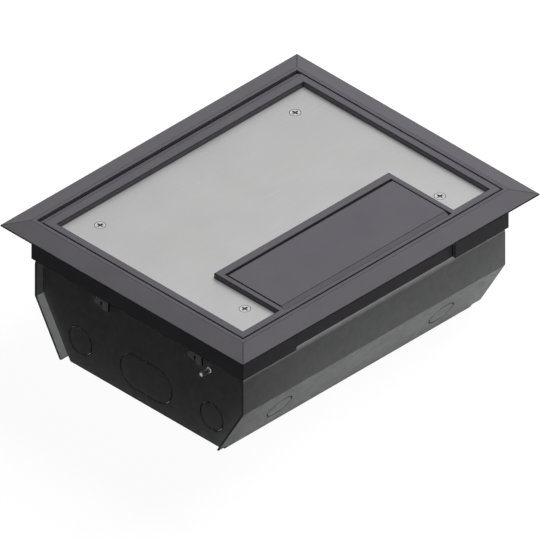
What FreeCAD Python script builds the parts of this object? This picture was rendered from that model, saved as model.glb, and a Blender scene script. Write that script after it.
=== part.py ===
import FreeCAD, Part
import math
import os

# Floor socket box for a raised access floor, in millimetres.
# X runs across the box (hinge side to cable-flap side), Y along it, Z up.
# The origin is the centre of the base underside.

# ---- Overall sizes -------------------------------------------------------
TRIM_WIDTH = 270.0            # trim frame across X
TRIM_LENGTH = 330.0           # trim frame along Y
BOX_DEPTH = 87.2              # base underside to the top of the steel flange
SKIRT_DEPTH = 31.3            # floor surface down to the skirt's lower edge
EDGE_ROUND = 0.4              # softened top edges of the mouldings
SHARP_RADIUS = 0.4            # least inside radius of a folded sheet
PAN_SLOT_SPAN = 0.55          # crossed recess, as a share of a round head
PAN_SLOT_DEPTH = 0.5
PAN_ROUNDING = 0.45
FLAT_TOLERANCE = 1e-5
OVERCUT = 1.0                 # how far cutting bodies pass a face

# ---- Trim frame ----------------------------------------------------------
LIP_THICKNESS = 1.0
LIP_OVERHANG = 17.2           # lip beyond the skirt, all round
BEVEL_WIDTH = 17.0
BEVEL_RISE = 4.7
TOP_FLAT_WIDTH = 3.6
LEDGE_DROP = 14.0             # trim top down to the ledge under the lid
LEDGE_WIDTH = 10.8
LEDGE_THICKNESS = 3.0
FOOT_WIDTH = 20.4             # foot flange inside the skirt wall
FOOT_THICKNESS = 3.0
RECESS_LENGTH = 176.8         # shallow recess in the skirt on the flap side
RECESS_DEPTH = 3.1
RECESS_HEIGHT = 17.8
RECESS_WALL = 2.7
HINGE_UNDERCUT = 1.5          # room for the lid's knuckle in the trim wall
HINGE_UNDERCUT_DROP = 2.8

# ---- Steel box -----------------------------------------------------------
SHEET = 1.5
SKIRT_STAND_OFF = 1.9         # skirt face out from the box wall
SIDE_SLOPE = 30.0             # degrees from upright
FOLD_HEIGHT = 51.65
BEND_RADIUS = 2.0
ROLL_RADIUS = 5.0
BOX_FLANGE_WIDTH = 23.9
WING_LENGTH = 8.0             # side walls past the end plates
WING_RELIEF = 4.0             # height cut away under the wings
WELD_GAP = 0.1
END_FLANGE_WIDTH = 15.9
END_TAB_LENGTH = 12.0
END_TAB_LOW = 8.0
END_TAB_HIGH = 78.0

# ---- Knockouts -----------------------------------------------------------
KNOCKOUT_SLOT = 0.5
KNOCKOUT_BRIDGE = 2.4
ROUND_KNOCKOUT = 25.5
ROUND_KNOCKOUT_X = 73.0
KNOCKOUT_HEIGHT = 25.5
LONG_KNOCKOUT_LENGTH = 57.6
LONG_KNOCKOUT_WIDTH = 32.8
SIDE_KNOCKOUT = 25.0
SIDE_KNOCKOUT_Y = 90.0

# ---- Partitions, rails and accessory plates ------------------------------
PARTITION_SHEET = 1.2
PARTITION_FOOT = 10.0
PARTITION_END_GAP = 2.4
RAIL_SEAT = 50.0              # top of the rails, where the plates sit
RAIL_WIDTH = 14.0
RAIL_WEB = 10.0
RAIL_SET_BACK = 20.9          # end plate face to the rail's outer edge
RAIL_SLOT_CLEARANCE = 0.4
PLATE_SHEET = 1.5
DATA_PLATE_WIDTH = 74.8
PLATE_GAP = 1.0
PLATE_END_OVERLAP = 1.0       # plates past the rails
PLATE_SCREW_INSET = 6.0
PLATE_SCREW_PITCH = 43.0
SMALL_SCREW = 3.5             # thread of the plate and socket screws
SMALL_HEAD = 6.6
SMALL_HEAD_HEIGHT = 2.2
THREAD_GAP = 0.05
PLATE_SCREW_LENGTH = 8.0
PLATE_HOLE_CLEARANCE = 0.3

# ---- Socket outlets ------------------------------------------------------
PLUG_HALF_WIDTH = 26.0        # plug clearance inside the box flange
SOCKET_PITCH = 104.0          # two outlets along each power plate
SOCKET_WIDTH = 54.0
SOCKET_LENGTH = 84.0
SOCKET_FACE = 3.2
SOCKET_CORNER = 3.0
SOCKET_BODY_WIDTH = 46.0
SOCKET_BODY_LENGTH = 74.0
SOCKET_FIT = 0.4
SOCKET_EDGE = 0.6             # chamfer round the face
SOCKET_FRONT_DEPTH = 4.5      # front moulding below the plate's top
SOCKET_REAR_DEPTH = 13.4
SOCKET_JOINT_GAP = 0.1
PIN_PITCH = 22.2              # between line and neutral, and to the earth
LINE_PIN_Y = -7.2
LINE_SLOT = (7.2, 4.8)
EARTH_SLOT = (4.8, 8.8)
CHAMBER_WALL = 1.6
CHAMBER_DRILL = 0.2           # screw clearance through the front moulding
SHUTTER_THICKNESS = 2.0
SHUTTER_SIZE = (31.0, 9.0)
SHUTTER_STEM = 5.0
SHUTTER_TRAVEL = 7.2
SHUTTER_GAP = 0.35
SHUTTER_RUNNER = 1.6          # width of the two side runners
SHUTTER_RUNNER_X = 14.415     # runner middles either side
SHUTTER_RUNNER_GAP = (0.15, 0.3)
SHUTTER_STEM_GAP = 0.3
CONTACT_GRIP = 3.8
CONTACT_SHEET = 0.8
CONTACT_HEIGHT = 8.0
TERMINAL = 6.4
TERMINAL_PITCH = 12.0
TERMINAL_INSET = 8.0
TERMINAL_RECESS = 0.5         # block above the rear moulding's underside
TERMINAL_GAP = 0.3
TERMINAL_SLOT = (4.0, 0.8, 0.8)
TERMINAL_SCREW_GAP = 0.4
ROCKER_Y = -30.5
ROCKER_WIDTH = 18.0
ROCKER_HALF = 5.2
ROCKER_DEPTH = 2.0
ROCKER_AXIS_RISE = 1.0        # accessory plate up to the rocker's axis
ROCKER_SHOULDER = 1.6
ROCKER_CREST = 3.0
ROCKER_TILT = 7.0
ROCKER_GAP = 0.5
ROCKER_SWING_GAP = 0.7        # well past the rocker, along its swing
ROCKER_STUB = 1.0
ROCKER_STUB_LENGTH = 1.9
SOCKET_SCREW_X = 19.8
SOCKET_SCREW_Y = 33.8
SOCKET_SCREW_HEAD = (5.6, 1.6)
SOCKET_SCREW_THREAD = 3.4
SOCKET_SCREW_LENGTH = 12.0
SOCKET_LUG = (1.2, 8.0, 2.0)   # reach under the plate, length, height
SOCKET_LUG_Y = 20.0

# ---- Data outlets --------------------------------------------------------
DATA_PITCH = 50.0
DATA_FACE = (38.0, 26.0, 2.4)
DATA_BODY = (20.0, 18.0, 17.0)
DATA_CUTOUT = (32.0, 20.0)
DATA_LUG = 1.2
DATA_LUG_WIDTH = 8.0
DATA_LUG_GAP = 0.2
DATA_CORNER = 1.5
DATA_PORT = (12.2, 8.4, 13.0)
DATA_LATCH = (6.4, 1.8)       # latch channel beside the port

# ---- Earth stud ----------------------------------------------------------
STUD = 4.0
STUD_X = 70.0
STUD_HEIGHT = 68.7
STUD_OUTSIDE = 9.1
STUD_INSIDE = 14.0
STUD_COLLAR = 5.2
STUD_TIP = 0.6
NUT_FLATS = 7.0
NUT_HEIGHT = 3.2
WASHER = 9.0
WASHER_THICKNESS = 0.8

# ---- Frame screws and floor clamps ---------------------------------------
MACHINE_SCREW = 4.0
MACHINE_HEAD = 7.4
MACHINE_HEAD_HEIGHT = 2.6
CLEARANCE_HOLE = 4.5
FRAME_SCREW_LENGTH = 10.0
FRAME_SCREW_INSET = 4.5       # from the foot flange's inner edge
FRAME_SCREW_Y = 100.0
FRAME_SCREW_X = 80.0
CLAMP_WALL_OFFSET = 6.0       # clamp axis inside the skirt's face
CLAMP_X = (-47.0, 57.0)
CLAMP_SCREW_LENGTH = 15.5
CLAMP_ACCESS = 5.0
CLAMP_HEAD_ROOM = 0.3
CLAMP_NUT = 7.0
CLAMP_NUT_HEIGHT = 4.0
CLAMP_COLLAR = 6.4
CLAMP_COLLAR_HEIGHT = 2.4
CLAMP_DROP = 5.2              # foot flange down to the nut's shoulder
CLAW_REACH = 12.0
CLAW_WIDTH = 7.0
CLAW_SHEET = 2.0
CLAW_RIB_DEPTH = 7.0
CLAW_RIB_START = 5.5          # screw axis to the rib
CLAW_FIT = 0.1
NUT_FIT = 0.05

# ---- Lid -----------------------------------------------------------------
LID_GAP = 0.6
LID_DEPTH = 12.0
LID_RIM = 6.8
LID_HINGE_RIM = 8.7
LID_RECESS = 4.3
LID_PLATE_THICKNESS = 2.0
LID_PLATE_GAP = 0.3
LID_WEB = 3.0
LID_BAND = 10.2
LID_RIB = 2.5
LID_RIB_PITCH = 40.0
LID_RIB_COUNT = 3
HINGE_GAP = 6.0               # trim wall to the top edge of the hinge side
HINGE_CHAMFER_RUN = 5.5
HINGE_CHAMFER_DROP = 2.55
HINGE_AXIS_INSET = 6.5        # trim wall to the hinge axis
HINGE_AXIS_DROP = 5.5
HINGE_KNUCKLE = 6.0
HINGE_PIN = 4.0
HINGE_PIN_IN_LID = 9.8
HINGE_PIN_IN_TRIM = 3.0
PIN_END_GAP = 0.5             # hinge pins short of their holes' ends
RUNNING_FIT = 0.05
LID_SCREW = 5.0
LID_SCREW_HEAD = 9.2
LID_SCREW_LENGTH = 7.4
LID_SCREW_BOSS = 10.0
LID_SCREW_HOLE_GAP = 0.2
LID_SCREW_RECESS = (5.52, 1.4)
LID_SCREW_X = (20.4, 24.7)    # in from the plate's hinge and front edges
LID_SCREW_Y = (26.7, 29.7)    # in from the plate's two ends
SEAL_WIDTH = 3.0
SEAL_GAP = 0.3                # seal below the closed lid
SEAL_CLEARANCE = 0.5

# ---- Cable flap ----------------------------------------------------------
FLAP_OPENING_LENGTH = 184.3
FLAP_OPENING_WIDTH = 66.7
FLAP_STRIP = 4.5              # lid strip in front of the opening
FLAP_FAR_BAR = 7.6
FLAP_SIDE_BAR = 5.0
FLAP_GAP = 0.6
FLAP_THICKNESS = 5.0
FLAP_SKIN = 2.5
FLAP_WALL = 2.5
FLAP_KNUCKLE = 3.5
FLAP_AXIS_INSET = 3.9         # far bar to the flap's hinge axis
FLAP_CHAMFER_RUN = 4.9
FLAP_CHAMFER_DROP = 2.85
FLAP_PIN = 3.0
FLAP_PIN_IN_FLAP = 6.5
FLAP_PIN_IN_BAR = 4.4
FLAP_LEDGE = 2.0
FLAP_LEDGE_GAP = 0.1
FLAP_LEDGE_START = 10.0       # flap axis to the side ledges
FLAP_RIB_PITCH = 45.0
FLAP_RIB = 2.0
FLAP_RIB_RISE = 0.5           # ribs above the flap's underside
FLAP_POCKET_INSET = 1.0

# ---- Heights and half widths that follow from the sizes above ------------
floor_level = BOX_DEPTH + SKIRT_DEPTH
lip_top = floor_level + LIP_THICKNESS
trim_top = lip_top + BEVEL_RISE
ledge_top = trim_top - LEDGE_DROP
foot_top = BOX_DEPTH + FOOT_THICKNESS
trim_x = TRIM_WIDTH / 2
trim_y = TRIM_LENGTH / 2
skirt_x = trim_x - LIP_OVERHANG
skirt_y = trim_y - LIP_OVERHANG
opening_x = trim_x - BEVEL_WIDTH - TOP_FLAT_WIDTH
opening_y = trim_y - BEVEL_WIDTH - TOP_FLAT_WIDTH
ledge_x = opening_x - LEDGE_WIDTH
ledge_y = opening_y - LEDGE_WIDTH
foot_x = opening_x - FOOT_WIDTH
foot_y = opening_y - FOOT_WIDTH

box_x = skirt_x - SKIRT_STAND_OFF
wing_y = skirt_y - SKIRT_STAND_OFF
end_face_y = wing_y - WING_LENGTH
end_inner_y = end_face_y - SHEET
slope = math.radians(SIDE_SLOPE)
base_x = box_x - FOLD_HEIGHT * math.tan(slope)
box_flange_x = box_x - BOX_FLANGE_WIDTH

rail_outer_y = end_face_y - RAIL_SET_BACK
rail_inner_y = rail_outer_y - RAIL_WIDTH
plate_top = RAIL_SEAT + PLATE_SHEET
plate_y = rail_outer_y + PLATE_END_OVERLAP
data_plate_x = DATA_PLATE_WIDTH / 2
power_plate_x = data_plate_x + PLATE_GAP
partition_x = data_plate_x + PLATE_GAP / 2
socket_x = box_flange_x - PLUG_HALF_WIDTH
socket_top = plate_top + SOCKET_FACE
front_bottom = plate_top - SOCKET_FRONT_DEPTH
rear_top = front_bottom - SOCKET_JOINT_GAP
rear_bottom = rear_top - SOCKET_REAR_DEPTH
rocker_axis_z = plate_top + ROCKER_AXIS_RISE
clamp_y = skirt_y - CLAMP_WALL_OFFSET

lid_bottom = trim_top - LID_DEPTH
lid_front_x = opening_x - LID_GAP
lid_y = opening_y - LID_GAP
rim_front_x = lid_front_x - LID_RIM
rim_y = lid_y - LID_RIM
hinge_top_x = -opening_x + HINGE_GAP
rim_hinge_x = hinge_top_x + LID_HINGE_RIM
hinge_axis_x = -opening_x + HINGE_AXIS_INSET
hinge_axis_z = trim_top - HINGE_AXIS_DROP
recess_floor = trim_top - LID_RECESS - LID_PLATE_THICKNESS
web_bottom = recess_floor - LID_WEB
plate_surface = trim_top - LID_RECESS

flap_open_front_x = lid_front_x - FLAP_STRIP
flap_open_back_x = flap_open_front_x - FLAP_OPENING_WIDTH
flap_open_y = FLAP_OPENING_LENGTH / 2
flap_axis_x = flap_open_back_x + FLAP_AXIS_INSET
flap_axis_z = trim_top - FLAP_KNUCKLE
flap_front_x = flap_open_front_x - FLAP_GAP
flap_y = flap_open_y - FLAP_GAP
flap_bottom = trim_top - FLAP_THICKNESS


# ---- Shape helpers -------------------------------------------------------
def vec(x, y, z):
    return FreeCAD.Vector(x, y, z)


def block(x, y, z):
    """Box from three (low, high) pairs."""
    size = (x[1] - x[0], y[1] - y[0], z[1] - z[0])
    return Part.makeBox(size[0], size[1], size[2], vec(x[0], y[0], z[0]))


def rod(radius, length, base, direction=(0, 0, 1)):
    return Part.makeCylinder(radius, length, vec(*base), vec(*direction))


def join(shapes):
    """Fuse a list of solids into one and drop the seams between them."""
    fused = shapes[0].multiFuse(shapes[1:]) if len(shapes) > 1 else shapes[0]
    return fused.removeSplitter()


def take(shape, cutters):
    for cutter in cutters:
        shape = shape.cut(cutter)
    return shape


def rounded_outline(corners):
    """Closed wire through (x, z, radius) corners in the XZ plane."""
    edges = []
    tangents = []
    count = len(corners)
    for index in range(count):
        x, z, radius = corners[index]
        last_x, last_z, _ = corners[index - 1]
        next_x, next_z, _ = corners[(index + 1) % count]
        corner = vec(x, 0, z)
        before = vec(last_x, 0, last_z)
        after = vec(next_x, 0, next_z)
        if radius == 0:
            tangents.append((corner, corner, None))
            continue
        to_before = (before - corner).normalize()
        to_after = (after - corner).normalize()
        half = to_before.getAngle(to_after) / 2
        reach = radius / math.tan(half)
        middle = (to_before + to_after).normalize()
        deepest = corner + middle * (radius / math.sin(half) - radius)
        tangents.append((corner + to_before * reach, corner + to_after * reach, deepest))
    for index in range(count):
        start, end, deepest = tangents[index]
        if deepest is not None:
            edges.append(Part.Arc(start, deepest, end).toShape())
        following = tangents[(index + 1) % count][0]
        if (following - end).Length > 1e-6:
            edges.append(Part.LineSegment(end, following).toShape())
    return Part.Wire(edges)


def prism(corners, low_y, high_y):
    """Outline in the XZ plane, extruded from low_y to high_y."""
    face = Part.Face(rounded_outline(corners))
    face.translate(vec(0, low_y, 0))
    return face.extrude(vec(0, high_y - low_y, 0))


def plate_outline(half_x, half_y, low_z, high_z, corner):
    """Flat plate with rounded corners."""
    plate = block((-half_x, half_x), (-half_y, half_y), (low_z, high_z))
    upright = [edge for edge in plate.Edges if abs(edge.tangentAt(edge.FirstParameter).z) > 0.99]
    return plate.makeFillet(corner, upright)


def cross_recess(x, y, top, span, depth):
    """The two crossed slots of a screw head."""
    long_half = span / 2
    narrow_half = span / 8
    z = (top - depth, top + OVERCUT)
    along = block((x - long_half, x + long_half), (y - narrow_half, y + narrow_half), z)
    across = block((x - narrow_half, x + narrow_half), (y - long_half, y + long_half), z)
    return along.fuse(across)


def pan_screw(x, y, seat, head, head_height, thread, length):
    """Round-headed screw standing on a seat, thread downwards."""
    cap = rod(head / 2, head_height, (x, y, seat))
    top = seat + head_height
    rim = [edge for edge in cap.Edges if abs(edge.BoundBox.ZMin - top) < FLAT_TOLERANCE]
    cap = cap.makeFillet(head_height * PAN_ROUNDING, [rim[0]])
    screw = cap.fuse(rod(thread / 2, length, (x, y, seat - length)))
    recess = cross_recess(x, y, top, head * PAN_SLOT_SPAN, head_height * PAN_SLOT_DEPTH)
    return screw.cut(recess).removeSplitter()


def hexagon(flats, height, centre):
    """Six-sided nut blank, its axis along Z."""
    radius = flats / 2 / math.cos(math.pi / 6)
    angles = [math.pi / 3 * corner for corner in range(7)]
    points = [vec(radius * math.cos(angle), radius * math.sin(angle), 0) for angle in angles]
    blank = Part.Face(Part.makePolygon(points)).extrude(vec(0, 0, height))
    blank.translate(vec(*centre))
    return blank


def soften(shape, level, radius):
    """Round the edges that lie flat at one height within the trim opening."""
    edges = []
    for edge in shape.Edges:
        bounds = edge.BoundBox
        flat = abs(bounds.ZMin - level) < FLAT_TOLERANCE and abs(bounds.ZMax - level) < FLAT_TOLERANCE
        within = max(-bounds.XMin, bounds.XMax) < opening_x + FLAT_TOLERANCE
        if flat and within:
            edges.append(edge)
    return shape.makeFillet(radius, edges)


def save(name, shapes):
    """Write one sub-part; a list is a group of separate solids."""
    solids = []
    for shape in shapes if isinstance(shapes, list) else [shapes]:
        solids.extend(shape.Solids)
    shape = solids[0] if len(solids) == 1 else Part.makeCompound(solids)
    shape.exportStep("parts/" + name + ".step")


# ---- Steel box -----------------------------------------------------------
def wall_x(offset, z):
    """Half width of the side wall's surface, offset inwards, at a height."""
    slanted = (base_x * math.cos(slope) - offset + z * math.sin(slope)) / math.cos(slope)
    return min(box_x - offset, slanted)


def fold_z(offset):
    """Height of the fold on a surface offset inwards from the outside."""
    reach = (box_x - offset) * math.cos(slope) - base_x * math.cos(slope) + offset
    return reach / math.sin(slope)


def section(offset, low, high):
    """Cross section of the box, offset inwards, between two heights."""
    bend = max(BEND_RADIUS - offset, SHARP_RADIUS)
    roll = max(ROLL_RADIUS - offset, SHARP_RADIUS)
    right = [(wall_x(offset, low), low, bend), (box_x - offset, fold_z(offset), bend),
             (box_x - offset, high, roll)]
    left = [(-x, z, radius) for x, z, radius in reversed(right)]
    return right + left


def knockout_ring(radius, thickness, half_straight=0.0):
    """Ring slot with two bridges, its axis along Z, centred on the sheet."""
    def slot_shape(r):
        ends = [rod(r, thickness, (side * half_straight, 0, -thickness / 2)) for side in (-1, 1)]
        if half_straight == 0:
            return ends[0]
        middle = block((-half_straight, half_straight), (-r, r), (-thickness / 2, thickness / 2))
        return ends[0].fuse(ends[1]).fuse(middle)
    ring = slot_shape(radius).cut(slot_shape(radius - KNOCKOUT_SLOT))
    reach = radius + OVERCUT
    bridge = block((-KNOCKOUT_BRIDGE / 2, KNOCKOUT_BRIDGE / 2), (-reach, reach), (-thickness, thickness))
    return ring.cut(bridge)


def box_body():
    """Base, slanted sides, upright sides and rolled flanges from one sheet."""
    outer = prism(section(0, 0, BOX_DEPTH), -wing_y, wing_y)
    beyond = wing_y + OVERCUT
    inner = prism(section(SHEET, SHEET, BOX_DEPTH - SHEET), -beyond, beyond)
    below_flange = BOX_DEPTH - 2 * SHEET
    mouth = block((-box_flange_x, box_flange_x), (-beyond, beyond), (below_flange, BOX_DEPTH + OVERCUT))
    body = take(outer, [inner, mouth])
    for side in (-1, 1):
        ends = sorted((side * end_inner_y, side * beyond))
        body = body.cut(block((-box_x, box_x), ends, (-OVERCUT, WING_RELIEF)))
        for y in (-SIDE_KNOCKOUT_Y, SIDE_KNOCKOUT_Y):
            ring = knockout_ring(SIDE_KNOCKOUT / 2, SHEET * 2)
            ring.rotate(vec(0, 0, 0), vec(0, 1, 0), side * (90 + SIDE_SLOPE))
            middle = side * wall_x(SHEET / 2, KNOCKOUT_HEIGHT)
            ring.translate(vec(middle, y, KNOCKOUT_HEIGHT))
            body = body.cut(ring)
        for y in (-FRAME_SCREW_Y, FRAME_SCREW_Y):
            x = side * (foot_x + FRAME_SCREW_INSET)
            body = body.cut(rod(MACHINE_SCREW / 2 + THREAD_GAP, 2 * SHEET, (x, y, below_flange)))
    return body


def end_plate(side):
    """Pressed end plate with a top flange and two welding tabs."""
    face = sorted((side * end_inner_y, side * end_face_y))
    fit = SHEET + WELD_GAP
    shoulder = BOX_DEPTH - fit
    edge_x = box_x - fit
    right = [(wall_x(fit, 0), 0, 0), (edge_x, fold_z(fit), 0), (edge_x, shoulder, ROLL_RADIUS - SHEET)]
    left = [(-x, z, radius) for x, z, radius in reversed(right)]
    plate = prism(right + left, *face)
    flange_x = box_flange_x - WELD_GAP
    flange_y = sorted((side * (end_face_y - END_FLANGE_WIDTH), side * end_face_y))
    flange = block((-flange_x, flange_x), flange_y, (BOX_DEPTH - SHEET, BOX_DEPTH))
    tab_y = sorted((side * (end_inner_y - END_TAB_LENGTH), side * (end_inner_y + SHEET / 2)))
    tab_corners = [(wall_x(fit, END_TAB_LOW), END_TAB_LOW), (edge_x, fold_z(fit)),
                   (edge_x, END_TAB_HIGH), (edge_x - SHEET, END_TAB_HIGH),
                   (edge_x - SHEET, fold_z(fit + SHEET)), (wall_x(fit + SHEET, END_TAB_LOW), END_TAB_LOW)]
    tabs = [prism([(sign * x, z, 0) for x, z in tab_corners], *tab_y) for sign in (-1, 1)]
    plate = join([plate, flange] + tabs)
    thickness = SHEET * 2
    rings = []
    for x in (-ROUND_KNOCKOUT_X, ROUND_KNOCKOUT_X):
        ring = knockout_ring(ROUND_KNOCKOUT / 2, thickness)
        ring.translate(vec(x, 0, 0))
        rings.append(ring)
    half_straight = (LONG_KNOCKOUT_LENGTH - LONG_KNOCKOUT_WIDTH) / 2
    rings.append(knockout_ring(LONG_KNOCKOUT_WIDTH / 2, thickness, half_straight))
    for ring in rings:
        ring.rotate(vec(0, 0, 0), vec(1, 0, 0), 90)
        ring.translate(vec(0, side * (end_face_y - SHEET / 2), KNOCKOUT_HEIGHT))
        plate = plate.cut(ring)
    for x in (-FRAME_SCREW_X, FRAME_SCREW_X):
        y = side * (foot_y + FRAME_SCREW_INSET)
        plate = plate.cut(rod(MACHINE_SCREW / 2 + THREAD_GAP, 2 * SHEET, (x, y, BOX_DEPTH - 2 * SHEET)))
    if side < 0:
        start = (STUD_X, -end_face_y - SHEET / 2, STUD_HEIGHT)
        plate = plate.cut(rod(STUD_COLLAR / 2, thickness, start, (0, 1, 0)))
    return plate


# ---- Trim frame ----------------------------------------------------------
def trim_frame():
    """Moulded frame: bevelled lip, skirt, lid ledge and foot flange."""
    lip = block((-trim_x, trim_x), (-trim_y, trim_y), (floor_level, lip_top))
    crest_x = opening_x + TOP_FLAT_WIDTH
    crest_y = opening_y + TOP_FLAT_WIDTH
    corners = ((-1, -1), (1, -1), (1, 1), (-1, 1), (-1, -1))
    low = Part.makePolygon([vec(sx * trim_x, sy * trim_y, lip_top) for sx, sy in corners])
    high = Part.makePolygon([vec(sx * crest_x, sy * crest_y, trim_top) for sx, sy in corners])
    bevel = Part.makeLoft([low, high], True, True)
    skirt = block((-skirt_x, skirt_x), (-skirt_y, skirt_y), (BOX_DEPTH, floor_level))
    frame = join([lip, bevel, skirt])
    below_ledge = ledge_top - LEDGE_THICKNESS
    frame = take(frame, [
        block((-opening_x, opening_x), (-opening_y, opening_y), (ledge_top, trim_top + OVERCUT)),
        block((-ledge_x, ledge_x), (-ledge_y, ledge_y), (below_ledge - OVERCUT, ledge_top + OVERCUT)),
        block((-opening_x, opening_x), (-opening_y, opening_y), (foot_top, below_ledge)),
        block((-foot_x, foot_x), (-foot_y, foot_y), (BOX_DEPTH - OVERCUT, foot_top + OVERCUT)),
    ])
    recess_y = RECESS_LENGTH / 2
    recess_x = skirt_x - RECESS_DEPTH
    recess_top = BOX_DEPTH + RECESS_HEIGHT
    backing_y = recess_y + RECESS_WALL
    backing = block((recess_x - RECESS_WALL, opening_x), (-backing_y, backing_y), (BOX_DEPTH, below_ledge))
    frame = join([frame, backing])
    frame = frame.cut(block((recess_x, skirt_x + OVERCUT), (-recess_y, recess_y),
                            (BOX_DEPTH - OVERCUT, recess_top)))
    undercut = block((-opening_x - HINGE_UNDERCUT, -opening_x), (-opening_y, opening_y),
                     (ledge_top, trim_top - HINGE_UNDERCUT_DROP))
    frame = frame.cut(undercut)
    foot_hole = FOOT_THICKNESS + 2 * OVERCUT
    access_hole = LEDGE_THICKNESS + 2 * OVERCUT
    head_room = MACHINE_HEAD / 2 + CLAMP_HEAD_ROOM
    for side in (-1, 1):
        pin_start = (hinge_axis_x, side * opening_y, hinge_axis_z)
        frame = frame.cut(rod(HINGE_PIN / 2, HINGE_PIN_IN_TRIM, pin_start, (0, side, 0)))
    for x, y, _ in clamp_places():
        frame = take(frame, [
            rod(CLEARANCE_HOLE / 2, foot_hole, (x, y, BOX_DEPTH - OVERCUT)),
            rod(CLAMP_ACCESS / 2, access_hole, (x, y, below_ledge - OVERCUT)),
            rod(head_room, below_ledge - foot_top, (x, y, foot_top)),
        ])
    for x, y in frame_screw_places():
        frame = frame.cut(rod(CLEARANCE_HOLE / 2, foot_hole, (x, y, BOX_DEPTH - OVERCUT)))
    return soften(frame, trim_top, EDGE_ROUND)


def frame_screw_places():
    """Screws through the foot flange, on the sides and at the ends."""
    side_x = foot_x + FRAME_SCREW_INSET
    end_y = foot_y + FRAME_SCREW_INSET
    places = [(sx * side_x, sy * FRAME_SCREW_Y) for sx in (-1, 1) for sy in (-1, 1)]
    places += [(sx * FRAME_SCREW_X, sy * end_y) for sx in (-1, 1) for sy in (-1, 1)]
    return places


def lid_seal():
    """Soft strip on the ledge, just under the closed lid."""
    front = lid_front_x - SEAL_CLEARANCE * 2
    hinge = -ledge_x - SEAL_CLEARANCE
    side = ledge_y + SEAL_CLEARANCE
    z = (ledge_top, lid_bottom - SEAL_GAP)
    outer = block((hinge - SEAL_WIDTH, front), (-side - SEAL_WIDTH, side + SEAL_WIDTH), z)
    return outer.cut(block((hinge, front - SEAL_WIDTH), (-side, side), z))


# ---- Floor clamps --------------------------------------------------------
def clamp_places():
    """Clamp axes as (x, y, direction the stored claw points along X)."""
    places = []
    for side in (-1, 1):
        for x in CLAMP_X:
            places.append((side * -x, side * clamp_y, -side))
    return places


def clamp_screw(x, y):
    """Jack screw, its head on the foot flange."""
    return pan_screw(x, y, foot_top, MACHINE_HEAD, MACHINE_HEAD_HEIGHT, MACHINE_SCREW, CLAMP_SCREW_LENGTH)


def clamp_nut(x, y):
    """Square nut with a round collar that the claw turns on."""
    shoulder = BOX_DEPTH - CLAMP_DROP
    half = CLAMP_NUT / 2
    body = block((x - half, x + half), (y - half, y + half), (shoulder - CLAMP_NUT_HEIGHT, shoulder))
    collar = rod(CLAMP_COLLAR / 2, CLAMP_COLLAR_HEIGHT, (x, y, shoulder))
    length = CLAMP_NUT_HEIGHT + CLAMP_COLLAR_HEIGHT
    bore = rod(MACHINE_SCREW / 2 + NUT_FIT, length, (x, y, shoulder - CLAMP_NUT_HEIGHT))
    return body.fuse(collar).cut(bore)


def clamp_claw(x, y, direction):
    """Pressed claw: an eye on the nut's collar, an arm and a stiffening rib."""
    low = BOX_DEPTH - CLAMP_DROP + CLAW_FIT
    half = CLAW_WIDTH / 2
    eye = rod(half, CLAW_SHEET, (0, 0, low))
    arm = block((0, CLAW_REACH), (-half, half), (low, low + CLAW_SHEET))
    rib_y = (-half, -half + CLAW_SHEET)
    rib = block((CLAW_RIB_START, CLAW_REACH), rib_y, (low - CLAW_RIB_DEPTH, low + CLAW_SHEET))
    claw = join([eye, arm, rib])
    bore = CLAMP_COLLAR / 2 + CLAW_FIT
    claw = claw.cut(rod(bore, CLAW_SHEET + 2 * OVERCUT, (0, 0, low - OVERCUT)))
    if direction < 0:
        claw.rotate(vec(0, 0, 0), vec(0, 0, 1), 180)
    claw.translate(vec(x, y, 0))
    return claw


# ---- Partitions, rails and plates ----------------------------------------
def partition(side):
    """Upright divider between the power and data wiring, folded at its foot."""
    low = side * (partition_x - PARTITION_SHEET / 2)
    high = side * (partition_x + PARTITION_SHEET / 2)
    half_y = end_inner_y - PARTITION_END_GAP
    rail_underside = RAIL_SEAT - PLATE_SHEET
    wall = block(sorted((low, high)), (-half_y, half_y), (SHEET, rail_underside - RAIL_SLOT_CLEARANCE))
    foot_edge = side * (partition_x - PARTITION_SHEET / 2 + PARTITION_FOOT)
    foot = block(sorted((low, foot_edge)), (-half_y, half_y), (SHEET, SHEET + PARTITION_SHEET))
    divider = join([wall, foot])
    slot_inner_y = rail_outer_y - PLATE_SHEET - RAIL_SLOT_CLEARANCE
    slot_outer_y = rail_outer_y + RAIL_SLOT_CLEARANCE
    slot_z = (RAIL_SEAT - RAIL_WEB - RAIL_SLOT_CLEARANCE, RAIL_SEAT)
    for end in (-1, 1):
        slot_y = sorted((end * slot_inner_y, end * slot_outer_y))
        divider = divider.cut(block((-box_x, box_x), slot_y, slot_z))
    return divider


def plate_screw_places():
    """Every accessory-plate screw on one rail, along X."""
    outer = [power_plate_x + PLATE_SCREW_INSET, power_plate_x + PLATE_SCREW_INSET + PLATE_SCREW_PITCH]
    inner = [data_plate_x - PLATE_SCREW_INSET]
    return [sign * x for sign in (-1, 1) for x in inner + outer]


def cross_rail(side):
    """Angle across the box that carries the plates' ends."""
    flange_y = sorted((side * rail_inner_y, side * rail_outer_y))
    flange = block((-box_x, box_x), flange_y, (RAIL_SEAT - PLATE_SHEET, RAIL_SEAT))
    web_y = sorted((side * (rail_outer_y - PLATE_SHEET), side * rail_outer_y))
    web = block((-box_x, box_x), web_y, (RAIL_SEAT - RAIL_WEB, RAIL_SEAT))
    rail = join([flange, web])
    rail = rail.common(prism(section(SHEET + WELD_GAP, SHEET + WELD_GAP, BOX_DEPTH), -wing_y, wing_y))
    middle_y = side * (rail_inner_y + rail_outer_y) / 2
    for x in plate_screw_places():
        start = (x, middle_y, RAIL_SEAT - PLATE_SHEET - OVERCUT)
        rail = rail.cut(rod(SMALL_SCREW / 2, PLATE_SHEET + 2 * OVERCUT, start))
    return rail.removeSplitter()


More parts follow.
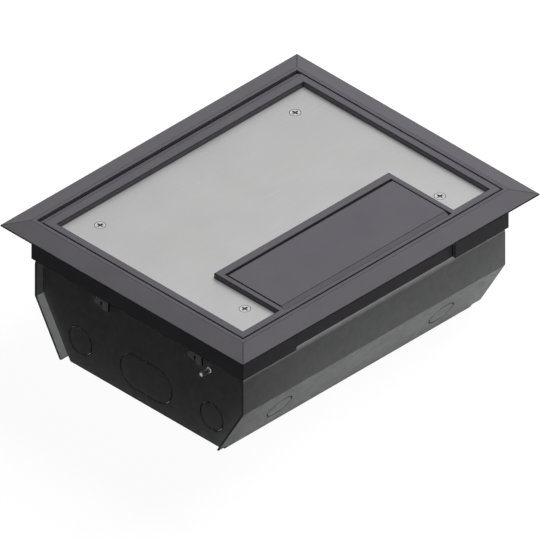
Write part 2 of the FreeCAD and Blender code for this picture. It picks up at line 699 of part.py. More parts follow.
def socket_places():
    """Socket outlets as (x, y), two on each power plate."""
    return [(sx * socket_x, sy * SOCKET_PITCH / 2) for sx in (-1, 1) for sy in (-1, 1)]


def data_places():
    """Data outlets along Y."""
    return [(index - 1.5) * DATA_PITCH for index in range(4)]


def socket_screw_places(x, y):
    """The two fixing screws of one outlet, in opposite corners."""
    return [(x + SOCKET_SCREW_X, y + SOCKET_SCREW_Y), (x - SOCKET_SCREW_X, y - SOCKET_SCREW_Y)]


def drill_plate_screws(plate):
    """Clearance holes for the accessory-plate screws."""
    middle_y = (rail_inner_y + rail_outer_y) / 2
    for x in plate_screw_places():
        for y in (-middle_y, middle_y):
            start = (x, y, RAIL_SEAT - OVERCUT)
            plate = plate.cut(rod(SMALL_SCREW / 2 + PLATE_HOLE_CLEARANCE, PLATE_SHEET + 2 * OVERCUT, start))
    return plate


def power_plate(side):
    """Steel plate over one power compartment, cut for two outlets."""
    wall = wall_x(SHEET + WELD_GAP * 2, RAIL_SEAT)
    x = sorted((side * power_plate_x, side * wall))
    plate = block(x, (-plate_y, plate_y), (RAIL_SEAT, plate_top))
    half_x = SOCKET_BODY_WIDTH / 2 + SOCKET_FIT
    half_y = SOCKET_BODY_LENGTH / 2 + SOCKET_FIT
    for px, py in socket_places():
        if px * side > 0:
            plate = plate.cut(block((px - half_x, px + half_x), (py - half_y, py + half_y),
                                    (RAIL_SEAT - OVERCUT, plate_top + OVERCUT)))
    return drill_plate_screws(plate)


def data_plate():
    """Steel plate over the data compartment, cut for four outlets."""
    plate = block((-data_plate_x, data_plate_x), (-plate_y, plate_y), (RAIL_SEAT, plate_top))
    half_x = DATA_CUTOUT[0] / 2
    half_y = DATA_CUTOUT[1] / 2
    for y in data_places():
        plate = plate.cut(block((-half_x, half_x), (y - half_y, y + half_y),
                                (RAIL_SEAT - OVERCUT, plate_top + OVERCUT)))
    return drill_plate_screws(plate)


# ---- Socket outlets ------------------------------------------------------
def pin_places():
    """Pin centres in an outlet: (x, y, slot) for earth, line and neutral."""
    earth = (0, LINE_PIN_Y + PIN_PITCH, EARTH_SLOT)
    return [earth, (-PIN_PITCH / 2, LINE_PIN_Y, LINE_SLOT), (PIN_PITCH / 2, LINE_PIN_Y, LINE_SLOT)]


def shutter_space():
    """Cavity of the sliding shutter under the face: x, y and z ranges."""
    half_x = SHUTTER_SIZE[0] / 2 + SHUTTER_GAP
    low = LINE_PIN_Y - SHUTTER_SIZE[1] / 2 - SHUTTER_TRAVEL - SHUTTER_GAP
    high = LINE_PIN_Y + PIN_PITCH + EARTH_SLOT[1] / 2 + SHUTTER_GAP
    return (-half_x, half_x), (low, high), (front_bottom, plate_top)


def socket_front(x, y):
    """Front moulding with the pin slots, the shutter cavity and the switch well."""
    face = plate_outline(SOCKET_WIDTH / 2, SOCKET_LENGTH / 2, plate_top, socket_top, SOCKET_CORNER)
    rim = [edge for edge in face.Edges if edge.BoundBox.ZMin > socket_top - FLAT_TOLERANCE]
    face = face.makeChamfer(SOCKET_EDGE, rim)
    half = (SOCKET_BODY_WIDTH / 2, SOCKET_BODY_LENGTH / 2)
    body = block((-half[0], half[0]), (-half[1], half[1]), (front_bottom, plate_top))
    reach, length, height = SOCKET_LUG
    lug_top = RAIL_SEAT - WELD_GAP
    lug_x = half[0] + reach
    lugs = [block((-lug_x, lug_x), (middle - length / 2, middle + length / 2), (lug_top - height, lug_top))
            for middle in (-SOCKET_LUG_Y, SOCKET_LUG_Y)]
    front = join([face, body] + lugs)
    front = front.cut(block(*shutter_space()))
    through = (front_bottom, socket_top + OVERCUT)
    for px, py, slot in pin_places():
        slot_x = (px - slot[0] / 2, px + slot[0] / 2)
        slot_y = (py - slot[1] / 2, py + slot[1] / 2)
        front = front.cut(block(slot_x, slot_y, through))
    well_x = ROCKER_WIDTH / 2 + ROCKER_GAP
    well_y = ROCKER_HALF + ROCKER_SWING_GAP
    front = front.cut(block((-well_x, well_x), (ROCKER_Y - well_y, ROCKER_Y + well_y), through))
    stub_reach = ROCKER_WIDTH / 2 + ROCKER_STUB_LENGTH + RUNNING_FIT
    stub_start = (-stub_reach, ROCKER_Y, rocker_axis_z)
    front = front.cut(rod(ROCKER_STUB + RUNNING_FIT, 2 * stub_reach, stub_start, (1, 0, 0)))
    drill = SMALL_SCREW / 2 + CHAMBER_DRILL
    for sx, sy in socket_screw_places(0, 0):
        front = front.cut(rod(drill, through[1] - through[0], (sx, sy, front_bottom)))
    front.translate(vec(x, y, 0))
    return front


def socket_rear(x, y):
    """Rear moulding with three contact chambers and three terminal pockets."""
    half = (SOCKET_BODY_WIDTH / 2, SOCKET_BODY_LENGTH / 2)
    rear = block((-half[0], half[0]), (-half[1], half[1]), (rear_bottom, rear_top))
    for px, py, slot in pin_places():
        half_x = slot[0] / 2 + CHAMBER_WALL
        half_y = slot[1] / 2 + CHAMBER_WALL
        rear = rear.cut(block((px - half_x, px + half_x), (py - half_y, py + half_y),
                              (rear_bottom + CHAMBER_WALL, rear_top + OVERCUT)))
    space = TERMINAL / 2 + TERMINAL_GAP
    for tx, ty in terminal_places():
        rear = rear.cut(block((tx - space, tx + space), (ty - space, ty + space),
                              (rear_bottom - OVERCUT, rear_bottom + TERMINAL_RECESS + TERMINAL)))
    for sx, sy in socket_screw_places(0, 0):
        rear = rear.cut(rod(SMALL_SCREW / 2, SOCKET_REAR_DEPTH, (sx, sy, rear_bottom + CHAMBER_WALL)))
    rear.translate(vec(x, y, 0))
    return rear


def terminal_places():
    """Terminal blocks in a row along the far end of each outlet."""
    return [(column * TERMINAL_PITCH, SOCKET_BODY_LENGTH / 2 - TERMINAL_INSET) for column in (-1, 0, 1)]


def socket_contacts(x, y):
    """Three sprung brass clips, one under each pin slot."""
    clips = []
    floor = rear_bottom + CHAMBER_WALL
    grip = CONTACT_GRIP / 2
    outside = grip + CONTACT_SHEET
    for px, py, slot in pin_places():
        length = max(slot) / 2
        beyond = length + OVERCUT
        outer = block((-outside, outside), (-length, length), (floor, floor + CONTACT_HEIGHT))
        gap_z = (floor + CONTACT_SHEET, floor + CONTACT_HEIGHT + OVERCUT)
        gap = block((-grip, grip), (-beyond, beyond), gap_z)
        clip = outer.cut(gap)
        if slot[0] > slot[1]:
            clip.rotate(vec(0, 0, 0), vec(0, 0, 1), 90)
        clip.translate(vec(x + px, y + py, 0))
        clips.append(clip)
    return clips


def terminal_blocks(x, y):
    """Brass blocks in the rear moulding's pockets, cross-drilled for the wire."""
    blocks = []
    half = TERMINAL / 2
    low = rear_bottom + TERMINAL_RECESS
    for tx, ty in terminal_places():
        body = block((tx - half, tx + half), (ty - half, ty + half), (low, low + TERMINAL))
        body = body.cut(rod(SMALL_SCREW / 2, half, (tx, ty, low)))
        body.translate(vec(x, y, 0))
        blocks.append(body)
    return blocks


def terminal_screws(x, y):
    """Slotted clamp screws, flush in the underside of the blocks."""
    screws = []
    low = rear_bottom + TERMINAL_RECESS
    slot_length, slot_width, slot_depth = TERMINAL_SLOT
    for tx, ty in terminal_places():
        screw = rod(SMALL_SCREW / 2 - THREAD_GAP, TERMINAL / 2 - TERMINAL_SCREW_GAP, (0, 0, low))
        slot = block((-slot_length / 2, slot_length / 2), (-slot_width / 2, slot_width / 2),
                     (low, low + slot_depth))
        screw = screw.cut(slot)
        screw.translate(vec(x + tx, y + ty, 0))
        screws.append(screw)
    return screws


def socket_shutter(x, y):
    """T-shaped shutter that closes the line and neutral slots."""
    middle_z = (front_bottom + plate_top) / 2
    z = (middle_z - SHUTTER_THICKNESS / 2, middle_z + SHUTTER_THICKNESS / 2)
    half_x = SHUTTER_SIZE[0] / 2
    half_y = SHUTTER_SIZE[1] / 2
    bar = block((-half_x, half_x), (LINE_PIN_Y - half_y, LINE_PIN_Y + half_y), z)
    stem_end = LINE_PIN_Y + PIN_PITCH - EARTH_SLOT[1] / 2 - SHUTTER_STEM_GAP
    stem = block((-SHUTTER_STEM / 2, SHUTTER_STEM / 2), (LINE_PIN_Y, stem_end), z)
    under, over = SHUTTER_RUNNER_GAP
    runner_z = (front_bottom + under, plate_top - over)
    runners = []
    for middle in (-SHUTTER_RUNNER_X, SHUTTER_RUNNER_X):
        runner_x = (middle - SHUTTER_RUNNER / 2, middle + SHUTTER_RUNNER / 2)
        runners.append(block(runner_x, (LINE_PIN_Y - half_y, LINE_PIN_Y + half_y), runner_z))
    shutter = join([bar, stem] + runners)
    shutter.translate(vec(x, y, 0))
    return shutter


def socket_switch(x, y):
    """Rocker on two stub axles, modelled in its off position."""
    outline = [(-ROCKER_HALF, -ROCKER_DEPTH), (ROCKER_HALF, -ROCKER_DEPTH), (ROCKER_HALF, ROCKER_SHOULDER),
               (0, ROCKER_CREST), (-ROCKER_HALF, ROCKER_SHOULDER)]
    points = [vec(-ROCKER_WIDTH / 2, py, pz) for py, pz in outline]
    rocker = Part.Face(Part.makePolygon(points + [points[0]])).extrude(vec(ROCKER_WIDTH, 0, 0))
    stub = rod(ROCKER_STUB, ROCKER_WIDTH + 2 * ROCKER_STUB_LENGTH,
               (-ROCKER_WIDTH / 2 - ROCKER_STUB_LENGTH, 0, 0), (1, 0, 0))
    rocker = rocker.fuse(stub)
    rocker.rotate(vec(0, 0, 0), vec(1, 0, 0), -ROCKER_TILT)
    rocker.translate(vec(x, y + ROCKER_Y, rocker_axis_z))
    return rocker


# ---- Data outlets --------------------------------------------------------
def data_jack(y):
    """Eight-way data outlet: face, body and upward-facing port."""
    face_width, face_length, face_height = DATA_FACE
    body_width, body_length, body_depth = DATA_BODY
    port_width, port_length, port_depth = DATA_PORT
    latch_width, latch_reach = DATA_LATCH
    top = plate_top + face_height
    face = plate_outline(face_width / 2, face_length / 2, plate_top, top, DATA_CORNER)
    body = block((-body_width / 2, body_width / 2), (-body_length / 2, body_length / 2),
                 (plate_top - body_depth, plate_top))
    lug_x = DATA_CUTOUT[0] / 2 - DATA_LUG_GAP
    lugs = block((-lug_x, lug_x), (-DATA_LUG_WIDTH / 2, DATA_LUG_WIDTH / 2),
                 (RAIL_SEAT - DATA_LUG, plate_top))
    jack = join([face, body, lugs])
    port_z = (top - port_depth, top + OVERCUT)
    port = block((-port_width / 2, port_width / 2), (-port_length / 2, port_length / 2), port_z)
    latch = block((-latch_width / 2, latch_width / 2), (0, port_length / 2 + latch_reach), port_z)
    jack = take(jack, [port, latch])
    jack.translate(vec(0, y, 0))
    return jack


# ---- Lid -----------------------------------------------------------------
def lid_screw_places():
    """Countersunk screws of the lid plate."""
    low_x = rim_hinge_x + LID_PLATE_GAP
    high_x = rim_front_x - LID_PLATE_GAP
    half_y = rim_y - LID_PLATE_GAP
    return [(x, y) for x in (low_x + LID_SCREW_X[0], high_x - LID_SCREW_X[1])
            for y in (-half_y + LID_SCREW_Y[0], half_y - LID_SCREW_Y[1])]


def countersink(x, y, grow=0.0):
    """Cone of a countersunk head, its radius grown by a clearance."""
    depth = (LID_SCREW_HEAD - LID_SCREW) / 2
    base = vec(x, y, plate_surface - depth)
    return Part.makeCone(LID_SCREW / 2 + grow, LID_SCREW_HEAD / 2 + grow, depth, base)


def lid_tray():
    """Moulded lid: rim, web, ribs, hinge knuckle and the cable-flap surround."""
    chamfer_x = hinge_top_x - HINGE_CHAMFER_RUN
    chamfer_z = trim_top - HINGE_CHAMFER_DROP
    slab = block((hinge_axis_x, lid_front_x), (-lid_y, lid_y), (lid_bottom, trim_top))
    edge = block((chamfer_x, hinge_axis_x), (-lid_y, lid_y), (hinge_axis_z, trim_top))
    knuckle = rod(HINGE_KNUCKLE, 2 * lid_y, (hinge_axis_x, -lid_y, hinge_axis_z), (0, 1, 0))
    tray = join([slab, edge, knuckle])
    above = trim_top + HINGE_KNUCKLE
    beyond = chamfer_x - HINGE_KNUCKLE
    over_hinge = [(beyond, chamfer_z, 0), (chamfer_x, chamfer_z, 0), (hinge_top_x, trim_top, 0),
                  (rim_hinge_x, trim_top, 0), (rim_hinge_x, above, 0), (beyond, above, 0)]
    tray = tray.cut(prism(over_hinge, -lid_y, lid_y))
    band_x = lid_front_x - LID_BAND
    band_y = lid_y - LID_BAND
    tray = take(tray, [
        block((rim_hinge_x, rim_front_x), (-rim_y, rim_y), (recess_floor, trim_top + OVERCUT)),
        block((rim_hinge_x, band_x), (-band_y, band_y), (lid_bottom - OVERCUT, web_bottom)),
    ])
    far_x = flap_open_back_x - FLAP_FAR_BAR
    side_y = flap_open_y + FLAP_SIDE_BAR
    surround = block((far_x, lid_front_x), (-side_y, side_y), (lid_bottom, trim_top))
    ribs = []
    for index in range(LID_RIB_COUNT):
        x = rim_hinge_x + LID_RIB_PITCH * (index + 0.5)
        ribs.append(block((x - LID_RIB / 2, x + LID_RIB / 2), (-band_y, band_y), (lid_bottom, web_bottom)))
    boss_height = web_bottom - lid_bottom
    bosses = [rod(LID_SCREW_BOSS / 2, boss_height, (x, y, lid_bottom)) for x, y in lid_screw_places()]
    tray = join([tray, surround] + ribs + bosses)
    tray = tray.cut(block((flap_open_back_x, flap_open_front_x), (-flap_open_y, flap_open_y),
                          (lid_bottom - OVERCUT, trim_top + OVERCUT)))
    ledge_z = flap_bottom - FLAP_LEDGE_GAP
    ledge_height = (ledge_z - FLAP_LEDGE, ledge_z)
    front_ledge_x = (flap_open_front_x - FLAP_LEDGE, flap_open_front_x)
    ledges = [block(front_ledge_x, (-flap_open_y, flap_open_y), ledge_height)]
    for side in (-1, 1):
        ledge_y = sorted((side * flap_open_y, side * (flap_open_y - FLAP_LEDGE)))
        ledges.append(block((flap_axis_x + FLAP_LEDGE_START, flap_open_front_x), ledge_y, ledge_height))
    tray = join([tray] + ledges)
    for side in (-1, 1):
        hinge_start = (hinge_axis_x, side * (lid_y - HINGE_PIN_IN_LID), hinge_axis_z)
        tray = tray.cut(rod(HINGE_PIN / 2 + RUNNING_FIT, HINGE_PIN_IN_LID + OVERCUT, hinge_start,
                            (0, side, 0)))
        flap_start = (flap_axis_x, side * flap_open_y, flap_axis_z)
        tray = tray.cut(rod(FLAP_PIN / 2, FLAP_PIN_IN_BAR, flap_start, (0, side, 0)))
    screw_end = plate_surface - LID_SCREW_LENGTH
    for x, y in lid_screw_places():
        tray = tray.cut(rod(LID_SCREW / 2 + THREAD_GAP, LID_SCREW_LENGTH, (x, y, screw_end)))
    return soften(tray, trim_top, EDGE_ROUND)


def lid_plate():
    """Steel infill plate, cut round the flap surround and countersunk."""
    z = (recess_floor, plate_surface)
    plate = block((rim_hinge_x + LID_PLATE_GAP, rim_front_x - LID_PLATE_GAP),
                  (-rim_y + LID_PLATE_GAP, rim_y - LID_PLATE_GAP), z)
    far_x = flap_open_back_x - FLAP_FAR_BAR - LID_PLATE_GAP
    side_y = flap_open_y + FLAP_SIDE_BAR + LID_PLATE_GAP
    z_through = (z[0] - OVERCUT, z[1] + OVERCUT)
    plate = plate.cut(block((far_x, rim_front_x + OVERCUT), (-side_y, side_y), z_through))
    drill = LID_SCREW / 2 + LID_SCREW_HOLE_GAP
    for x, y in lid_screw_places():
        plate = plate.cut(rod(drill, LID_PLATE_THICKNESS + 2 * OVERCUT, (x, y, z_through[0])))
        plate = plate.cut(countersink(x, y, THREAD_GAP))
    return plate


def lid_plate_screws():
    """Countersunk screws with a crossed recess, flush with the plate."""
    screws = []
    for x, y in lid_screw_places():
        shank = rod(LID_SCREW / 2, LID_SCREW_LENGTH, (x, y, plate_surface - LID_SCREW_LENGTH))
        screw = countersink(x, y).fuse(shank)
        screws.append(screw.cut(cross_recess(x, y, plate_surface, *LID_SCREW_RECESS)).removeSplitter())
    return screws


def lid_hinge_pins():
    """Two short pins, fixed in the trim's end walls."""
    length = HINGE_PIN_IN_TRIM + LID_GAP + HINGE_PIN_IN_LID - PIN_END_GAP
    outer_y = opening_y + HINGE_PIN_IN_TRIM
    return [rod(HINGE_PIN / 2, length, (hinge_axis_x, side * outer_y, hinge_axis_z), (0, -side, 0))
            for side in (-1, 1)]


def cable_flap():
    """Flap over the cable outlet: skin, walls, ribs and a round hinge edge."""
    chamfer_x = flap_front_x - FLAP_CHAMFER_RUN
    chamfer_z = trim_top - FLAP_CHAMFER_DROP
    flap = prism([(flap_axis_x, trim_top, 0), (chamfer_x, trim_top, 0), (flap_front_x, chamfer_z, 0),
                  (flap_front_x, flap_bottom, 0), (flap_axis_x, flap_bottom, 0)], -flap_y, flap_y)
    knuckle = rod(FLAP_KNUCKLE, 2 * flap_y, (flap_axis_x, -flap_y, flap_axis_z), (0, 1, 0))
    pocket_y = flap_y - FLAP_WALL
    pocket_x = (flap_axis_x + FLAP_KNUCKLE + FLAP_POCKET_INSET, chamfer_x - FLAP_WALL)
    pocket = block(pocket_x, (-pocket_y, pocket_y), (flap_bottom - OVERCUT, trim_top - FLAP_SKIN))
    flap = join([flap, knuckle]).cut(pocket)
    rib_x = (flap_axis_x + FLAP_KNUCKLE, chamfer_x - FLAP_WALL / 2)
    rib_z = (flap_bottom + FLAP_RIB_RISE, trim_top - FLAP_SKIN)
    ribs = [block(rib_x, (middle - FLAP_RIB / 2, middle + FLAP_RIB / 2), rib_z)
            for middle in (-FLAP_RIB_PITCH, 0, FLAP_RIB_PITCH)]
    flap = join([flap] + ribs)
    for side in (-1, 1):
        start = (flap_axis_x, side * (flap_y - FLAP_PIN_IN_FLAP), flap_axis_z)
        flap = flap.cut(rod(FLAP_PIN / 2 + RUNNING_FIT, FLAP_PIN_IN_FLAP + OVERCUT, start, (0, side, 0)))
    past_knuckle = flap_axis_x + FLAP_KNUCKLE
    top_edges = [edge for edge in flap.Edges
                 if abs(edge.BoundBox.ZMin - trim_top) < FLAT_TOLERANCE and edge.BoundBox.XMax > past_knuckle
                 and edge.BoundBox.XMin > flap_axis_x + FLAT_TOLERANCE]
    return flap.makeFillet(EDGE_ROUND, top_edges)


def flap_hinge_pins():
    """Two short pins, fixed in the side bars of the flap surround."""
    length = FLAP_PIN_IN_BAR + FLAP_GAP + FLAP_PIN_IN_FLAP - PIN_END_GAP
    outer_y = flap_open_y + FLAP_PIN_IN_BAR
    return [rod(FLAP_PIN / 2, length, (flap_axis_x, side * outer_y, flap_axis_z), (0, -side, 0))
            for side in (-1, 1)]


# ---- Earth stud ----------------------------------------------------------
def earth_stud():
    """Double-ended stud, pressed into the end plate by its collar."""
    length = STUD_OUTSIDE + SHEET + STUD_INSIDE
    stud = rod(STUD / 2, length, (STUD_X, -end_face_y - STUD_OUTSIDE, STUD_HEIGHT), (0, 1, 0))
    tips = [edge for edge in stud.Edges if edge.BoundBox.YLength < FLAT_TOLERANCE]
    stud = stud.makeChamfer(STUD_TIP, tips)
    return stud.fuse(rod(STUD_COLLAR / 2, SHEET, (STUD_X, -end_face_y, STUD_HEIGHT), (0, 1, 0)))


def earth_hardware(kind):
    """Two nuts or two washers on the inner end of the stud."""
    pieces = []
    bore = STUD / 2 + THREAD_GAP
    stack = end_inner_y
    for index in range(2):
        washer_y = stack - WASHER_THICKNESS
        nut_y = washer_y - NUT_HEIGHT
        if kind == "washer":
            piece = rod(WASHER / 2, WASHER_THICKNESS, (0, 0, 0))
            place = washer_y
        else:
            piece = hexagon(NUT_FLATS, NUT_HEIGHT, (0, 0, 0))
            place = nut_y
        piece = piece.cut(rod(bore, NUT_HEIGHT, (0, 0, 0)))
        piece.rotate(vec(0, 0, 0), vec(1, 0, 0), 90)
        piece.translate(vec(STUD_X, -place, STUD_HEIGHT))
        pieces.append(piece)
        stack = nut_y
    return pieces


# ---- Build every sub-part ------------------------------------------------
os.makedirs("parts", exist_ok=True)

save("trim_frame", trim_frame())
save("box_body", box_body())
save("lid_seal", lid_seal())
for end_name, end_side in (("front", -1), ("rear", 1)):
    save("end_plate_" + end_name, end_plate(end_side))
    save("cross_rail_" + end_name, cross_rail(end_side))
for side_name, side_sign in (("left", -1), ("right", 1)):
    save("partition_" + side_name, partition(side_sign))
    save("power_plate_" + side_name, power_plate(side_sign))
save("data_plate", data_plate())

contacts = []
blocks = []
block_screws = []
fixing_screws = []
for number, (sx, sy) in enumerate(socket_places(), 1):
    save("socket_front_%d" % number, socket_front(sx, sy))
    save("socket_rear_%d" % number, socket_rear(sx, sy))
    save("socket_shutter_%d" % number, socket_shutter(sx, sy))
    save("socket_switch_%d" % number, socket_switch(sx, sy))
    contacts += socket_contacts(sx, sy)
    blocks += terminal_blocks(sx, sy)
    block_screws += terminal_screws(sx, sy)
    for px, py in socket_screw_places(sx, sy):
        fixing_screws.append(pan_screw(px, py, socket_top, *SOCKET_SCREW_HEAD, SOCKET_SCREW_THREAD,
                                       SOCKET_SCREW_LENGTH))
save("socket_contacts", contacts)
save("terminal_blocks", blocks)
save("terminal_screws", block_screws)
save("socket_screws", fixing_screws)
for number, jack_y in enumerate(data_places(), 1):
    save("data_jack_%d" % number, data_jack(jack_y))

rail_middle = (rail_inner_y + rail_outer_y) / 2
plate_screw_sizes = (SMALL_HEAD, SMALL_HEAD_HEIGHT, SMALL_SCREW - 2 * THREAD_GAP, PLATE_SCREW_LENGTH)
save("plate_screws", [pan_screw(x, y, plate_top, *plate_screw_sizes)
                      for x in plate_screw_places() for y in (-rail_middle, rail_middle)])
frame_screw_sizes = (MACHINE_HEAD, MACHINE_HEAD_HEIGHT, MACHINE_SCREW, FRAME_SCREW_LENGTH)
save("frame_screws", [pan_screw(x, y, foot_top, *frame_screw_sizes) for x, y in frame_screw_places()])
save("earth_stud", earth_stud())
save("earth_nuts", earth_hardware("nut"))
save("earth_washers", earth_hardware("washer"))

for number, (cx, cy, pointing) in enumerate(clamp_places(), 1):
    save("clamp_screw_%d" % number, clamp_screw(cx, cy))
    save("clamp_nut_%d" % number, clamp_nut(cx, cy))
    save("clamp_claw_%d" % number, clamp_claw(cx, cy, pointing))

save("lid_tray", lid_tray())
save("lid_plate", lid_plate())
save("lid_plate_screws", lid_plate_screws())
save("lid_hinge_pins", lid_hinge_pins())
save("cable_flap", cable_flap())
save("flap_hinge_pins", flap_hinge_pins())
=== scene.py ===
import math

import bmesh
import bpy
from mathutils import Matrix, Vector


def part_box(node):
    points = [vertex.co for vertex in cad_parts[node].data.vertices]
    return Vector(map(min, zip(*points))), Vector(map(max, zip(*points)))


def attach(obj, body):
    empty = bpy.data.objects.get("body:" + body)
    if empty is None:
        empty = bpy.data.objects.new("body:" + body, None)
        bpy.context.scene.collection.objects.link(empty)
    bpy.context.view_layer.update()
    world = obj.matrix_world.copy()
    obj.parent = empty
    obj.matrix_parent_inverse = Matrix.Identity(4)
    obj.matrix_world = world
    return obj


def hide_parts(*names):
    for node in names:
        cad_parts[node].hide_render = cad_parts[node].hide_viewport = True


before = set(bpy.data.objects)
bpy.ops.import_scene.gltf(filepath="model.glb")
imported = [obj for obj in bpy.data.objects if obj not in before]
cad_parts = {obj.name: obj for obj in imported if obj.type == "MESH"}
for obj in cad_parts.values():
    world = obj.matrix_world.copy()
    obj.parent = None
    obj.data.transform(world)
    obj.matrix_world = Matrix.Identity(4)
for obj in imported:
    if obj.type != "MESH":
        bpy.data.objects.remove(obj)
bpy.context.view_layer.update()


# ---- Camera, floor and studio light ----------------------------------------------------------
# The box stands on pale paper with a large softbox behind it and a small lamp overhead that casts
# no shadow. The paper throws back more light on the right, as beside a white card, and little in
# front. The camera looks down from the front corner without perspective, as in a drawing.
LOOK_AT = Vector((0.0, 0.0, 0.0612))
TOWARDS_CAMERA = Vector((1.0, -1.0, 1.0)).normalized()
VIEW_HEIGHT = 0.4249
CAMERA_DISTANCE = 1.2
KEY_DIRECTION = Vector((0.08, 0.61, 0.79)).normalized()
KEY_SIZE = 0.8
KEY_WATTS = 11.0
OVERHEAD_DIRECTION = Vector((0.0, 0.0, 1.0))
OVERHEAD_SIZE = 0.2
OVERHEAD_WATTS = 11.6
LAMP_DISTANCE = 1.6
WORLD_FILL = 0.02
FLOOR_HALF = 20.0
PAPER_THROWS = 0.24
CARD_THROWS = 0.54
FRONT_THROWS = 0.02
PAPER_SHADE = 0.25
PAPER_GLOW = 0.85

camera = bpy.data.objects.new("studio_camera", bpy.data.cameras.new("studio_camera"))
camera.data.type = "ORTHO"
camera.data.ortho_scale = VIEW_HEIGHT
camera.location = LOOK_AT + TOWARDS_CAMERA * CAMERA_DISTANCE
camera.rotation_euler = (-TOWARDS_CAMERA).to_track_quat("-Z", "Y").to_euler()
bpy.context.scene.collection.objects.link(camera)
bpy.context.scene.camera = camera
bpy.context.scene.view_settings.view_transform = "Standard"


def softbox(name, direction, size, watts, shadow=True):
    """A square area lamp that faces the middle of the object."""
    lamp = bpy.data.objects.new(name, bpy.data.lights.new(name, "AREA"))
    lamp.data.size = size
    lamp.data.energy = watts
    lamp.data.use_shadow = shadow
    lamp.location = LOOK_AT + direction * LAMP_DISTANCE
    lamp.rotation_euler = (-direction).to_track_quat("-Z", "Y").to_euler()
    lamp.visible_camera = False
    bpy.context.scene.collection.objects.link(lamp)


softbox("key_softbox", KEY_DIRECTION, KEY_SIZE, KEY_WATTS)
softbox("overhead_lamp", OVERHEAD_DIRECTION, OVERHEAD_SIZE, OVERHEAD_WATTS, shadow=False)


def add_node(tree, kind, sockets=None, **settings):
    """A shader node with its settings; a socket takes a plain value or another node's output."""
    made = tree.nodes.new(kind)
    for name, value in settings.items():
        setattr(made, name, value)
    for name, value in (sockets or {}).items():
        if isinstance(value, bpy.types.NodeSocket):
            tree.links.new(value, made.inputs[name])
        else:
            made.inputs[name].default_value = value
    return made


def math_node(tree, operation, first, second=0.0, clamp=False):
    """The output of one Math node."""
    made = add_node(tree, "ShaderNodeMath", {0: first, 1: second}, operation=operation, use_clamp=clamp)
    return made.outputs[0]


def mixed_colour(tree, share, first, second):
    """The output of a colour mix; share 0 gives first."""
    return add_node(tree, "ShaderNodeMix", {0: share, 6: first, 7: second}, data_type="RGBA").outputs[2]


def mapped(tree, value, low, high, to_low, to_high):
    """A value's range moved to another range and held inside it."""
    return add_node(tree, "ShaderNodeMapRange", {"Value": value, "From Min": low, "From Max": high,
                                                 "To Min": to_low, "To Max": to_high}).outputs[0]


def grey(level):
    """A neutral colour."""
    return (level, level, level, 1)


def seen_directly(tree):
    """1 for camera, mirror and glass rays, 0 for the light that reaches the object."""
    path = add_node(tree, "ShaderNodeLightPath")
    seen = math_node(tree, "MAXIMUM", path.outputs["Is Camera Ray"], path.outputs["Is Glossy Ray"])
    return math_node(tree, "MAXIMUM", seen, path.outputs["Is Transmission Ray"])


world = bpy.data.worlds.new("studio")
world.use_nodes = True
bpy.context.scene.world = world
world.node_tree.nodes.clear()
fill = add_node(world.node_tree, "ShaderNodeBackground", {"Color": grey(1), "Strength": WORLD_FILL})
backdrop = add_node(world.node_tree, "ShaderNodeBackground", {"Color": grey(1), "Strength": 1.0})
sky = add_node(world.node_tree, "ShaderNodeMixShader",
               {0: seen_directly(world.node_tree), 1: fill.outputs[0], 2: backdrop.outputs[0]})
add_node(world.node_tree, "ShaderNodeOutputWorld", {"Surface": sky.outputs[0]})

floor_mesh = bpy.data.meshes.new("studio_floor")
signs = ((-1, -1), (1, -1), (1, 1), (-1, 1))
floor_mesh.from_pydata([(x * FLOOR_HALF, y * FLOOR_HALF, 0) for x, y in signs], [], [(0, 1, 2, 3)])
floor = bpy.data.objects.new("studio_floor", floor_mesh)
bpy.context.scene.collection.objects.link(floor)

paper = bpy.data.materials.new("pale_paper")
paper.use_nodes = True
tree = paper.node_tree
tree.nodes.clear()
spot = add_node(tree, "ShaderNodeNewGeometry").outputs["Position"]
across = add_node(tree, "ShaderNodeSeparateXYZ", {0: spot}).outputs
card_inner = mapped(tree, across["X"], 0.04, 0.12, 0.0, 1.0)
card_outer = mapped(tree, across["X"], 0.24, 0.34, 1.0, 0.0)
on_card = math_node(tree, "MULTIPLY", card_inner, card_outer)
in_front = mapped(tree, across["Y"], -0.12, -0.18, 0.0, 1.0)
thrown = mixed_colour(tree, on_card, grey(PAPER_THROWS), grey(CARD_THROWS))
thrown = mixed_colour(tree, in_front, thrown, grey(FRONT_THROWS))
bounce = add_node(tree, "ShaderNodeBsdfDiffuse", {"Color": thrown})
shaded = add_node(tree, "ShaderNodeBsdfDiffuse", {"Color": grey(PAPER_SHADE)})
glow = add_node(tree, "ShaderNodeEmission", {"Color": grey(1), "Strength": PAPER_GLOW})
pale = add_node(tree, "ShaderNodeAddShader", {0: shaded.outputs[0], 1: glow.outputs[0]})
surface = add_node(tree, "ShaderNodeMixShader",
                   {0: seen_directly(tree), 1: bounce.outputs[0], 2: pale.outputs[0]})
add_node(tree, "ShaderNodeOutputMaterial", {"Surface": surface.outputs[0]})
floor_mesh.materials.append(paper)


# ---- Steel box and end plates ------------------------------------------------------------------
# One folded galvanised sheet makes the base, the slanted and upright sides and the rolled flanges.
# Two pressed end plates are spot welded between the sides; the zinc shows a faint grey spangle.
# Cut edges and knockout slots are dark up to the flange, which stays bright; slots hold painted shade.
FLANGE_FOOT = 0.0848
FLANGE_FACE = 0.0856


def start_group(name, inputs, outputs):
    """An empty shader node group and its input sockets."""
    tree = bpy.data.node_groups.new(name, "ShaderNodeTree")
    for label, value in inputs:
        made = tree.interface.new_socket(label, in_out="INPUT", socket_type="NodeSocketFloat")
        made.default_value = value
    for label, kind in outputs:
        tree.interface.new_socket(label, in_out="OUTPUT", socket_type="NodeSocket" + kind)
    return tree, tree.nodes.new("NodeGroupInput").outputs


